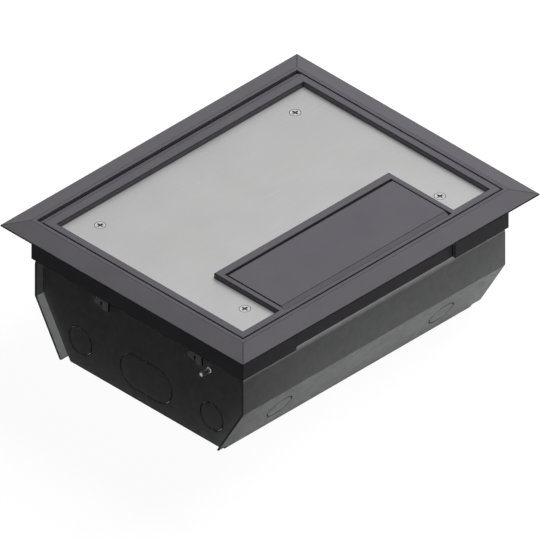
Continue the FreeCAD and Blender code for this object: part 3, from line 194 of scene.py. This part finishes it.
def end_group(tree, **results):
    """Wires the results to the group's outputs, by name."""
    out = tree.nodes.new("NodeGroupOutput")
    for label, socket in results.items():
        tree.links.new(socket, out.inputs[label])


def use_group(tree, group, **sockets):
    """Places a group in a material with its own values."""
    made = add_node(tree, "ShaderNodeGroup", {}, node_tree=group)
    for label, value in sockets.items():
        made.inputs[label.replace("_", " ")].default_value = value
    return made


def noise(tree, vector, scale, detail):
    """The grey output of a noise texture."""
    made = add_node(tree, "ShaderNodeTexNoise", {"Vector": vector, "Scale": scale, "Detail": detail})
    return made.outputs[0]


def bump(tree, height, strength, depth, normal=None):
    """The normal of a surface raised by a height, over the plain or a given normal."""
    made = add_node(tree, "ShaderNodeBump", {"Height": height, "Strength": strength, "Distance": depth})
    if normal:
        tree.links.new(normal, made.inputs["Normal"])
    return made.outputs[0]


def new_material(name):
    """An empty node material's tree and its object coordinates."""
    material = bpy.data.materials.new(name)
    material.use_nodes = True
    material.node_tree.nodes.clear()
    return material.node_tree, add_node(material.node_tree, "ShaderNodeTexCoord").outputs["Object"]


def finish_material(name, sockets):
    """Closes a material: its Principled surface with the given sockets."""
    tree = bpy.data.materials[name].node_tree
    surface = add_node(tree, "ShaderNodeBsdfPrincipled", sockets)
    add_node(tree, "ShaderNodeOutputMaterial", {"Surface": surface.outputs[0]})
    return bpy.data.materials[name]


def dress(material, *nodes):
    """Gives CAD nodes their finish."""
    for name in nodes:
        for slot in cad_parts[name].material_slots:
            slot.material = material


# Every cut or folded edge takes a rounded normal, and a mask that is 1 along the edge.
edge_round, given = start_group(
    "edge_round", [("Radius", 0.0004)], [("Normal", "Vector"), ("Edge", "Float")])
bevel = add_node(edge_round, "ShaderNodeBevel", {"Radius": given["Radius"]}, samples=6).outputs[0]
plain = add_node(edge_round, "ShaderNodeNewGeometry").outputs["Normal"]
turned = add_node(edge_round, "ShaderNodeVectorMath", {0: bevel, 1: plain}, operation="DOT_PRODUCT")
bend = math_node(edge_round, "SUBTRACT", 1.0, turned.outputs["Value"])
end_group(edge_round, Normal=bevel, Edge=mapped(edge_round, bend, 0.0005, 0.008, 0.0, 1.0))

# Dust lies on faces that look up and gathers in corners; the second mask is the corners alone.
# The corner mask comes from occlusion; where a finish darkens with it, that is painted shade.
dust_and_corner_shade, given = start_group(
    "dust_and_corner_shade",
    [("Amount", 0.3), ("Patch Size", 0.03), ("Corner Reach", 0.004)],
    [("Dust", "Float"), ("Corner", "Float")],
)
place = add_node(dust_and_corner_shade, "ShaderNodeTexCoord").outputs
corners = add_node(dust_and_corner_shade, "ShaderNodeAmbientOcclusion",
                   {"Distance": given["Corner Reach"]}, samples=8)
patch_scale = math_node(dust_and_corner_shade, "DIVIDE", 1.0, given["Patch Size"])
upward = add_node(dust_and_corner_shade, "ShaderNodeSeparateXYZ", {0: place["Normal"]}).outputs["Z"]
lying = mapped(dust_and_corner_shade, upward, 0.2, 1.0, 0.15, 0.5)
in_corner = mapped(dust_and_corner_shade, corners.outputs["AO"], 0.35, 0.9, 1.0, 0.0)
patches = noise(dust_and_corner_shade, place["Object"], patch_scale, 4.0)
spread = mapped(dust_and_corner_shade, patches, 0.35, 0.7, 0.2, 1.0)
caught = math_node(dust_and_corner_shade, "ADD", math_node(dust_and_corner_shade, "MULTIPLY", in_corner, 0.6), lying)
caught = math_node(dust_and_corner_shade, "MULTIPLY", caught, spread)
end_group(dust_and_corner_shade, Dust=math_node(dust_and_corner_shade, "MULTIPLY", caught, given["Amount"], clamp=True),
          Corner=in_corner)

tree, spot = new_material("galvanised_sheet")
edges = use_group(tree, edge_round, Radius=0.0011).outputs
dust_and_shade = use_group(tree, dust_and_corner_shade, Amount=0.2, Patch_Size=0.05, Corner_Reach=0.006).outputs
wander = add_node(tree, "ShaderNodeTexNoise", {"Vector": spot, "Scale": 160.0, "Detail": 3.0})
push = add_node(tree, "ShaderNodeVectorMath", {0: wander.outputs["Color"], 3: 0.0035},
                operation="SCALE").outputs[0]
bent = add_node(tree, "ShaderNodeVectorMath", {0: spot, 1: push}, operation="ADD").outputs[0]
crystals = add_node(tree, "ShaderNodeTexVoronoi", {"Vector": bent, "Scale": 190.0}).outputs["Color"]
crystal_tone = add_node(tree, "ShaderNodeSeparateColor", {0: crystals}).outputs[0]
feather = noise(tree, bent, 900.0, 3.0)
tone = add_node(tree, "ShaderNodeMix", {0: 0.3, 2: crystal_tone, 3: feather}).outputs[0]
zinc = mixed_colour(tree, tone, (0.455, 0.46, 0.465, 1), (0.525, 0.53, 0.535, 1))
zinc = mixed_colour(tree, dust_and_shade["Dust"], zinc, (0.33, 0.32, 0.30, 1))
height = add_node(tree, "ShaderNodeSeparateXYZ", {0: spot}).outputs["Z"]
below_flange = mapped(tree, height, FLANGE_FOOT, FLANGE_FACE, 1.0, 0.0)
on_edge = math_node(tree, "MULTIPLY", edges["Edge"], below_flange)
zinc = mixed_colour(tree, on_edge, zinc, grey(0.008))
# Painted shade: slots and deep corners below the flange go near black where the occlusion mask is high.
slot_shade = mapped(tree, dust_and_shade["Corner"], 0.8, 1.0, 0.0, 1.0)
slot_shade = math_node(tree, "MULTIPLY", slot_shade, below_flange)
galvanised_sheet = finish_material("galvanised_sheet", {
    "Base Color": mixed_colour(tree, slot_shade, zinc, grey(0.006)),
    "Roughness": mapped(tree, tone, 0.2, 0.8, 0.60, 0.46),
    "Metallic": 0.0,
    "Specular IOR Level": 0.06,
    "Normal": bump(tree, feather, 0.5, 0.00003),
})
dress(galvanised_sheet, "box_body", "end_plate_front", "end_plate_rear")


# ---- Cross rails and partitions ----------------------------------------------------------------
# Two folded rails across the box carry the accessory plates, and two partitions keep power and
# data apart. All four are the same galvanised sheet, welded to the base and the sides.
dress(galvanised_sheet, "cross_rail_front", "cross_rail_rear", "partition_left", "partition_right")


# ---- Earth stud ---------------------------------------------------------------------------------
# A bright zinc plated stud pressed into the front end plate takes the bonding lead outside and,
# under two nuts and washers, the earth leads inside. The rolled thread is wound round its shank.
STUD_PITCH = 0.0007
STUD_RADIUS = 0.002
STUD_END = 0.0006
STUD_COLLAR = 0.0018
THREAD_STEPS = 20
THREAD_FADE_STEPS = 10
THREAD_DEPTH = 0.54
THREAD_FLANKS = [(-0.2, -0.45), (1.0, -0.07), (1.0, 0.07), (-0.2, 0.45)]

tree, spot = new_material("bright_zinc_plate")
edges = use_group(tree, edge_round, Radius=0.0004).outputs
dust_and_shade = use_group(tree, dust_and_corner_shade, Amount=0.4, Patch_Size=0.004, Corner_Reach=0.0012).outputs
blush = noise(tree, spot, 260.0, 3.0)
pitting = noise(tree, spot, 2600.0, 2.0)
plating = mixed_colour(tree, blush, (0.50, 0.51, 0.53, 1), (0.62, 0.62, 0.60, 1))
# Painted shade: corners and recesses, found by occlusion, go near black.
plating = mixed_colour(tree, dust_and_shade["Corner"], plating, grey(0.02))
plating = mixed_colour(tree, dust_and_shade["Dust"], plating, (0.26, 0.25, 0.23, 1))
bright_zinc_plate = finish_material("bright_zinc_plate", {
    "Base Color": mixed_colour(tree, edges["Edge"], plating, grey(0.01)),
    "Roughness": mapped(tree, blush, 0.3, 0.7, 0.34, 0.46),
    "Metallic": 0.7,
    "Normal": bump(tree, pitting, 0.3, 0.00002),
})


def smooth_with_edges(mesh, degrees):
    """Smooth shading, with sharp edges kept where faces meet at more than an angle."""
    mesh.polygons.foreach_set("use_smooth", [True] * len(mesh.polygons))
    mesh.set_sharp_from_angle(angle=math.radians(degrees))


def new_piece(name, mesh_code, material, degrees=35):
    """An object made from mesh code and its finish."""
    mesh = bpy.data.meshes.new(name)
    mesh_code.to_mesh(mesh)
    mesh_code.free()
    smooth_with_edges(mesh, degrees)
    mesh.materials.append(material)
    piece = bpy.data.objects.new(name, mesh)
    bpy.context.scene.collection.objects.link(piece)
    return piece


def sweep(shape, stations, profile, closed=False):
    """A skin over a profile set at each station (point, across, up); open ends are capped."""
    rings = []
    for point, across, up in stations:
        rings.append([shape.verts.new(point + across * u + up * v) for u, v in profile])
    count = len(profile)
    for index in range(len(rings) - (not closed)):
        ring, after = rings[index], rings[(index + 1) % len(rings)]
        for corner in range(count):
            beside = (corner + 1) % count
            shape.faces.new((ring[corner], after[corner], after[beside], ring[beside]))
    if not closed:
        shape.faces.new(rings[0])
        shape.faces.new(tuple(reversed(rings[-1])))


def wind_thread(shape, centre, along, start, length, radius, pitch):
    """A V thread round an axis, fading out over half a turn at both ends."""
    side = along.orthogonal().normalized()
    root = radius - THREAD_DEPTH * pitch
    steps = int(length / pitch * THREAD_STEPS)
    stations = []
    for step in range(steps + 1):
        turn = Matrix.Rotation(math.tau * step / THREAD_STEPS, 3, along)
        fade = min(1.0, step / THREAD_FADE_STEPS, (steps - step) / THREAD_FADE_STEPS)
        out = turn @ side
        place = centre + along * (start + pitch * step / THREAD_STEPS)
        stations.append((place + out * root, out * max(fade, 0.05) * (radius - root), along * pitch))
    sweep(shape, stations, THREAD_FLANKS)


def neck_shank(shape, centre, along, radius, pitch):
    """Draws the shank's outside in to the foot of the thread."""
    bmesh.ops.remove_doubles(shape, verts=shape.verts, dist=1e-6)
    for vert in shape.verts:
        height = (vert.co - centre).dot(along)
        out = vert.co - centre - along * height
        if abs(out.length - radius) < 2e-5:
            vert.co = centre + along * height + out * (1 - THREAD_DEPTH * pitch / radius)


def threaded_piece(name, node, body, finish, centre, along, radius, pitch, runs):
    """A stud or screw with its thread cut: it stands for the CAD piece with a plain shank."""
    shape = bmesh.new()
    shape.from_mesh(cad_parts[node].data)
    neck_shank(shape, centre, along, radius, pitch)
    for start, length in runs:
        wind_thread(shape, centre, along, start, length, radius, pitch)
    material, slot = finish
    piece = new_piece(name, shape, material)
    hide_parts(node)
    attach(piece, body)


stud_low, stud_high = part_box("earth_stud")
stud_centre = Vector(((stud_low[0] + stud_high[0]) / 2, 0.0, (stud_low[2] + stud_high[2]) / 2))
plate_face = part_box("end_plate_front")[0][1]
stud_runs = [(stud_low[1] + STUD_END, plate_face - stud_low[1] - 2 * STUD_END),
             (plate_face + STUD_COLLAR, stud_high[1] - plate_face - STUD_COLLAR - STUD_END)]
threaded_piece("earth_stud_threaded", "earth_stud", "box", (bright_zinc_plate, "zinc_fixings"),
               stud_centre, Vector((0, 1, 0)), STUD_RADIUS, STUD_PITCH, stud_runs)
dress(bright_zinc_plate, "earth_nuts", "earth_washers")


# ---- Trim frame ---------------------------------------------------------------------------------
# One moulding in dark grey glass-filled nylon makes the bevelled lip, the skirt, the ledge under
# the lid and the foot flange. Its faces carry a fine spark-eroded grain, and its edges look dark.
tree, spot = new_material("moulded_dark_grey")
edges = use_group(tree, edge_round, Radius=0.0010).outputs
dust_and_shade = use_group(tree, dust_and_corner_shade, Amount=0.15, Patch_Size=0.04, Corner_Reach=0.003).outputs
grain = noise(tree, spot, 1400.0, 3.0)
mottle = noise(tree, spot, 35.0, 4.0)
plastic = mixed_colour(tree, mottle, (0.127, 0.119, 0.137, 1), (0.150, 0.141, 0.163, 1))
plastic = mixed_colour(tree, dust_and_shade["Dust"], plastic, (0.30, 0.29, 0.28, 1))
moulded_dark_grey = finish_material("moulded_dark_grey", {
    "Base Color": mixed_colour(tree, edges["Edge"], plastic, grey(0.006)),
    "Roughness": mapped(tree, mottle, 0.3, 0.7, 0.47, 0.54),
    "Specular IOR Level": 0.06,
    "Normal": bump(tree, grain, 0.6, 0.00004),
})
dress(moulded_dark_grey, "trim_frame")


# ---- Frame screws --------------------------------------------------------------------------------
# Eight zinc plated pan-head screws hold the trim's foot flange down on the rolled steel flanges.
# They are driven through the ledge before the lid goes on, so only their heads ever show.
dress(bright_zinc_plate, "frame_screws")


# ---- Floor clamps --------------------------------------------------------------------------------
# A jack screw, a square collared nut and a pressed claw in each clamp grip the floor panel from
# below. All three are steel with a dark passivated finish, dull and slightly blotchy.
CLAMP_RADIUS = 0.002
CLAMP_PITCH = 0.0007
CLAMP_HEAD = 0.0026
CLAMP_TIP = 0.0002
CLAMP_RUNOUT = 0.0006

tree, spot = new_material("dark_passivated_steel")
edges = use_group(tree, edge_round, Radius=0.0003).outputs
dust_and_shade = use_group(tree, dust_and_corner_shade, Amount=0.2, Patch_Size=0.01, Corner_Reach=0.002).outputs
bloom = noise(tree, spot, 120.0, 4.0)
rolled = noise(tree, spot, 1500.0, 2.0)
dark_steel = mixed_colour(tree, bloom, (0.016, 0.016, 0.017, 1), (0.030, 0.029, 0.028, 1))
rubbed = math_node(tree, "MULTIPLY", edges["Edge"], 0.3)
dark_steel = mixed_colour(tree, rubbed, dark_steel, grey(0.12))
dark_passivated_steel = finish_material("dark_passivated_steel", {
    "Base Color": mixed_colour(tree, dust_and_shade["Dust"], dark_steel, (0.08, 0.077, 0.072, 1)),
    "Roughness": mapped(tree, bloom, 0.3, 0.7, 0.42, 0.58),
    "Metallic": 0.0,
    "Specular IOR Level": 0.25,
    "Normal": bump(tree, rolled, 0.4, 0.00002, edges["Normal"]),
})
for number in range(1, 5):
    low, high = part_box("clamp_screw_%d" % number)
    centre = Vector(((low[0] + high[0]) / 2, (low[1] + high[1]) / 2, 0.0))
    thread_run = (low[2] + CLAMP_TIP, high[2] - CLAMP_HEAD - low[2] - CLAMP_TIP - CLAMP_RUNOUT)
    threaded_piece("clamp_jack_screw_%d" % number, "clamp_screw_%d" % number,
                   "jack_screw_%d" % number, (dark_passivated_steel, "claw_steel"), centre,
                   Vector((0, 0, 1)), CLAMP_RADIUS, CLAMP_PITCH, [thread_run])
    dress(dark_passivated_steel, "clamp_nut_%d" % number, "clamp_claw_%d" % number)


# ---- Accessory plates ----------------------------------------------------------------------------
# Two power plates and one data plate, pressed from steel sheet and powder coated light grey,
# are screwed down on the rails. The coat has the faint orange peel that powder leaves.
tree, spot = new_material("light_grey_powder_coat")
edges = use_group(tree, edge_round, Radius=0.0005).outputs
dust_and_shade = use_group(tree, dust_and_corner_shade, Amount=0.35, Patch_Size=0.03, Corner_Reach=0.004).outputs
peel = noise(tree, spot, 700.0, 2.0)
cloud = noise(tree, spot, 40.0, 3.0)
coat = mixed_colour(tree, cloud, (0.42, 0.43, 0.43, 1), (0.48, 0.485, 0.48, 1))
coat = mixed_colour(tree, math_node(tree, "MULTIPLY", edges["Edge"], 0.5), coat, grey(0.6))
light_grey_powder_coat = finish_material("light_grey_powder_coat", {
    "Base Color": mixed_colour(tree, dust_and_shade["Dust"], coat, (0.34, 0.33, 0.31, 1)),
    "Roughness": mapped(tree, peel, 0.3, 0.7, 0.36, 0.48),
    "Normal": bump(tree, peel, 0.5, 0.00006, edges["Normal"]),
})
dress(light_grey_powder_coat, "power_plate_left", "power_plate_right", "data_plate")
dress(bright_zinc_plate, "plate_screws")


# ---- Socket outlets ------------------------------------------------------------------------------
# Each switched outlet is a white urea front on a rear moulding that holds the brass contacts and
# the terminal blocks. Two zinc plated screws in opposite corners hold it to the power plate.
def all_four(name):
    """The names of four like nodes."""
    return ["%s_%d" % (name, number) for number in range(1, 5)]


tree, spot = new_material("white_urea")
edges = use_group(tree, edge_round, Radius=0.0004).outputs
dust_and_shade = use_group(tree, dust_and_corner_shade, Amount=0.3, Patch_Size=0.02, Corner_Reach=0.003).outputs
flow = noise(tree, spot, 60.0, 3.0)
ripple = noise(tree, spot, 450.0, 2.0)
urea = mixed_colour(tree, flow, (0.76, 0.76, 0.73, 1), (0.81, 0.81, 0.79, 1))
# Painted shade: corners, found by occlusion, go half way to a dark warm grey.
urea = mixed_colour(tree, math_node(tree, "MULTIPLY", dust_and_shade["Corner"], 0.5), urea, (0.42, 0.40, 0.36, 1))
white_urea = finish_material("white_urea", {
    "Base Color": mixed_colour(tree, dust_and_shade["Dust"], urea, (0.50, 0.48, 0.44, 1)),
    "Roughness": mapped(tree, flow, 0.3, 0.7, 0.24, 0.34),
    "Normal": bump(tree, ripple, 0.25, 0.00003, edges["Normal"]),
})
dress(white_urea, *all_four("socket_front"), *all_four("socket_rear"))

tree, spot = new_material("bare_brass")
edges = use_group(tree, edge_round, Radius=0.0002).outputs
dust_and_shade = use_group(tree, dust_and_corner_shade, Amount=0.2, Patch_Size=0.006, Corner_Reach=0.001).outputs
tarnish = noise(tree, spot, 180.0, 4.0)
drawing = noise(tree, spot, 1900.0, 2.0)
brass = mixed_colour(tree, tarnish, (0.66, 0.46, 0.17, 1), (0.48, 0.31, 0.11, 1))
bare_brass = finish_material("bare_brass", {
    "Base Color": mixed_colour(tree, dust_and_shade["Corner"], brass, (0.16, 0.10, 0.04, 1)),
    "Roughness": mapped(tree, tarnish, 0.3, 0.7, 0.24, 0.42),
    "Metallic": 1.0,
    "Normal": bump(tree, drawing, 0.3, 0.00002, edges["Normal"]),
})
dress(bare_brass, "socket_contacts", "terminal_blocks")
dress(bright_zinc_plate, "terminal_screws", "socket_screws")


# ---- Rocker switches -----------------------------------------------------------------------------
# A glossy white rocker turns on two stubs in each front. A red band is moulded into the end that
# stands up when the outlet is on, so it lies hidden in the well while the outlet is off.
tree, spot = new_material("white_rocker")
edges = use_group(tree, edge_round, Radius=0.0003).outputs
dust_and_shade = use_group(tree, dust_and_corner_shade, Amount=0.2, Patch_Size=0.01, Corner_Reach=0.0015).outputs
along = add_node(tree, "ShaderNodeSeparateXYZ",
                 {0: add_node(tree, "ShaderNodeTexCoord").outputs["Generated"]}).outputs["Y"]
band = mapped(tree, along, 0.930, 0.935, 0.0, 1.0)
flow = noise(tree, spot, 150.0, 3.0)
shell = mixed_colour(tree, flow, (0.79, 0.79, 0.76, 1), (0.83, 0.83, 0.81, 1))
shell = mixed_colour(tree, band, shell, (0.55, 0.02, 0.015, 1))
white_rocker = finish_material("white_rocker", {
    "Base Color": mixed_colour(tree, dust_and_shade["Dust"], shell, (0.50, 0.48, 0.44, 1)),
    "Roughness": mapped(tree, flow, 0.3, 0.7, 0.18, 0.26),
    "Normal": bump(tree, flow, 0.2, 0.00003, edges["Normal"]),
})
dress(white_rocker, *all_four("socket_switch"))


# ---- Shutters ------------------------------------------------------------------------------------
# Under each front a sprung nylon slide covers the two live slots until an earth pin pushes it
# back. It is natural off-white nylon, matt where it runs.
tree, spot = new_material("natural_nylon")
edges = use_group(tree, edge_round, Radius=0.0002).outputs
cloud = noise(tree, spot, 220.0, 4.0)
rubbed = noise(tree, spot, 1600.0, 2.0)
nylon = mixed_colour(tree, cloud, (0.56, 0.55, 0.50, 1), (0.66, 0.65, 0.61, 1))
natural_nylon = finish_material("natural_nylon", {
    "Base Color": mixed_colour(tree, edges["Edge"], nylon, (0.72, 0.71, 0.68, 1)),
    "Roughness": mapped(tree, cloud, 0.3, 0.7, 0.48, 0.60),
    "Normal": bump(tree, rubbed, 0.4, 0.00003, edges["Normal"]),
})
dress(natural_nylon, *all_four("socket_shutter"))


# ---- Data outlets --------------------------------------------------------------------------------
# Four black shielded outlets snap into the data plate. In each port eight gold plated spring
# wires come up from the floor of the port and slant back over it to meet the plug.
WIRE_PITCH = 0.00102
WIRE_RADIUS = 0.00018
WIRE_COUNT = 8
WIRE_SIDES = 8
PORT_HALF = 0.0042
# Each wire's line: forward of the port's wall, and down from the port's top.
WIRE_ROUTE = [(0.0, -0.0118), (0.0, -0.0056), (0.0001, -0.0051), (0.0005, -0.0048),
              (0.0009, -0.0050), (0.0038, -0.0096)]

tree, spot = new_material("black_moulding")
edges = use_group(tree, edge_round, Radius=0.0003).outputs
dust_and_shade = use_group(tree, dust_and_corner_shade, Amount=0.35, Patch_Size=0.015, Corner_Reach=0.002).outputs
grain = noise(tree, spot, 1500.0, 3.0)
cloud = noise(tree, spot, 80.0, 3.0)
black = mixed_colour(tree, cloud, (0.022, 0.022, 0.024, 1), (0.034, 0.034, 0.036, 1))
black = mixed_colour(tree, math_node(tree, "MULTIPLY", edges["Edge"], 0.4), black, grey(0.12))
black_moulding = finish_material("black_moulding", {
    "Base Color": mixed_colour(tree, dust_and_shade["Dust"], black, (0.22, 0.21, 0.20, 1)),
    "Roughness": mapped(tree, cloud, 0.3, 0.7, 0.40, 0.52),
    "Normal": bump(tree, grain, 0.5, 0.00003, edges["Normal"]),
})
dress(black_moulding, *all_four("data_jack"))

tree, spot = new_material("gold_plated_wire")
edges = use_group(tree, edge_round, Radius=0.00005).outputs
wipe = noise(tree, spot, 1200.0, 3.0)
gold_plated_wire = finish_material("gold_plated_wire", {
    "Base Color": mixed_colour(tree, wipe, (0.80, 0.55, 0.18, 1), (0.62, 0.42, 0.14, 1)),
    "Roughness": mapped(tree, wipe, 0.3, 0.7, 0.20, 0.32),
    "Metallic": 1.0,
    "Normal": edges["Normal"],
})

ROUND_WIRE = [(WIRE_RADIUS * math.cos(math.tau * step / WIRE_SIDES),
               WIRE_RADIUS * math.sin(math.tau * step / WIRE_SIDES)) for step in range(WIRE_SIDES)]


def bent_wire(shape, x, route):
    """A round wire along a route of (y, z) points in a plane of constant x."""
    points = [Vector((x, y, z)) for y, z in route]
    stations = []
    for index, point in enumerate(points):
        before = points[max(index - 1, 0)]
        after = points[min(index + 1, len(points) - 1)]
        heading = (after - before).normalized()
        stations.append((point, Vector((1, 0, 0)), heading.cross(Vector((1, 0, 0)))))
    sweep(shape, stations, ROUND_WIRE)


for number in range(1, 5):
    low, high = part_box("data_jack_%d" % number)
    middle_x = (low[0] + high[0]) / 2
    wall_y = (low[1] + high[1]) / 2 - PORT_HALF + 2.2 * WIRE_RADIUS
    route = [(wall_y + forward, high[2] + down) for forward, down in WIRE_ROUTE]
    wires = bmesh.new()
    for place in range(WIRE_COUNT):
        bent_wire(wires, middle_x + (place - (WIRE_COUNT - 1) / 2) * WIRE_PITCH, route)
    contacts = new_piece("data_contact_wires_%d" % number, wires, gold_plated_wire, 60)
    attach(contacts, "box")


# ---- Lid seal ------------------------------------------------------------------------------------
# A black rubber gasket with a hollow bulb over a flat foot is bonded to the ledge all round, bent
# round each corner. The closed lid rests just over it and keeps mop water out.
SEAL_WIDTH = 0.003
SEAL_BEND = 0.004
BEND_STEPS = 8
# The section as shares of its half width and its height: the foot, then the bulb.
SEAL_SECTION = [(-1.0, 0.0), (1.0, 0.0), (1.0, 0.24), (0.78, 0.34), (0.72, 0.62), (0.42, 0.90),
                (0.0, 1.0), (-0.42, 0.90), (-0.72, 0.62), (-0.78, 0.34), (-1.0, 0.24)]

tree, spot = new_material("black_rubber")
edges = use_group(tree, edge_round, Radius=0.0001).outputs
dust_and_shade = use_group(tree, dust_and_corner_shade, Amount=0.5, Patch_Size=0.02, Corner_Reach=0.001).outputs
bloom = noise(tree, spot, 90.0, 4.0)
skin = noise(tree, spot, 2400.0, 2.0)
rubber = mixed_colour(tree, bloom, (0.018, 0.018, 0.018, 1), (0.035, 0.034, 0.033, 1))
black_rubber = finish_material("black_rubber", {
    "Base Color": mixed_colour(tree, dust_and_shade["Dust"], rubber, (0.20, 0.19, 0.18, 1)),
    "Roughness": mapped(tree, bloom, 0.3, 0.7, 0.62, 0.78),
    "Normal": bump(tree, skin, 0.4, 0.00002, edges["Normal"]),
})

seal_low, seal_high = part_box("lid_seal")
seal_height = seal_high[2] - seal_low[2]
half_width = SEAL_WIDTH / 2
stations = []
corner_x = (seal_low[0] + half_width + SEAL_BEND, seal_high[0] - half_width - SEAL_BEND)
corner_y = (seal_low[1] + half_width + SEAL_BEND, seal_high[1] - half_width - SEAL_BEND)
for quarter, (x, y) in enumerate(((corner_x[1], corner_y[1]), (corner_x[0], corner_y[1]),
                                  (corner_x[0], corner_y[0]), (corner_x[1], corner_y[0]))):
    for step in range(BEND_STEPS + 1):
        angle = math.pi / 2 * (quarter + step / BEND_STEPS)
        out = Vector((math.cos(angle), math.sin(angle), 0))
        point = Vector((x, y, seal_low[2])) + out * SEAL_BEND
        stations.append((point, out * half_width, Vector((0, 0, seal_height))))
gasket = bmesh.new()
sweep(gasket, stations, SEAL_SECTION, closed=True)
bmesh.ops.recalc_face_normals(gasket, faces=gasket.faces)
lid_gasket = new_piece("lid_gasket", gasket, black_rubber, 50)
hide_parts("lid_seal")
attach(lid_gasket, "box")


# ---- Lid -----------------------------------------------------------------------------------------
# The lid is the same dark moulding as the trim: a rim, a web stiffened by ribs and a surround for
# the cable flap. It swings on two steel pins pushed into the trim from inside.
dress(moulded_dark_grey, "lid_tray")
dress(bright_zinc_plate, "lid_hinge_pins", "flap_hinge_pins")


# ---- Lid plate -----------------------------------------------------------------------------------
# A plain satin steel plate is let into the lid's recess and held by four countersunk screws with
# crossed recesses. It is brushed along its length and lightly scuffed by feet.
tree, spot = new_material("satin_steel_plate")
edges = use_group(tree, edge_round, Radius=0.0006).outputs
dust_and_shade = use_group(tree, dust_and_corner_shade, Amount=0.15, Patch_Size=0.06, Corner_Reach=0.002).outputs
lengthways = add_node(tree, "ShaderNodeMapping", {"Vector": spot, "Scale": (1.0, 0.02, 1.0)}).outputs[0]
brushing = noise(tree, lengthways, 1800.0, 4.0)
cloud = noise(tree, spot, 25.0, 4.0)
steel = mixed_colour(tree, brushing, grey(0.385), grey(0.455))
# Painted shade: corners, found by occlusion, go dark grey.
steel = mixed_colour(tree, dust_and_shade["Corner"], steel, grey(0.10))
steel = mixed_colour(tree, dust_and_shade["Dust"], steel, (0.40, 0.39, 0.37, 1))
satin_steel_plate = finish_material("satin_steel_plate", {
    "Base Color": mixed_colour(tree, edges["Edge"], steel, grey(0.01)),
    "Roughness": mapped(tree, cloud, 0.3, 0.7, 0.44, 0.52),
    "Metallic": 0.6,
    "Normal": bump(tree, brushing, 0.4, 0.00002),
})
dress(satin_steel_plate, "lid_plate")
dress(bright_zinc_plate, "lid_plate_screws")


# ---- Cable flap ----------------------------------------------------------------------------------
# A small lid in the lid lets the leads out. It is moulded in the same plastic, ribbed underneath,
# with a chamfered finger edge towards the trim, and turns on two short pins.
dress(moulded_dark_grey, "cable_flap")
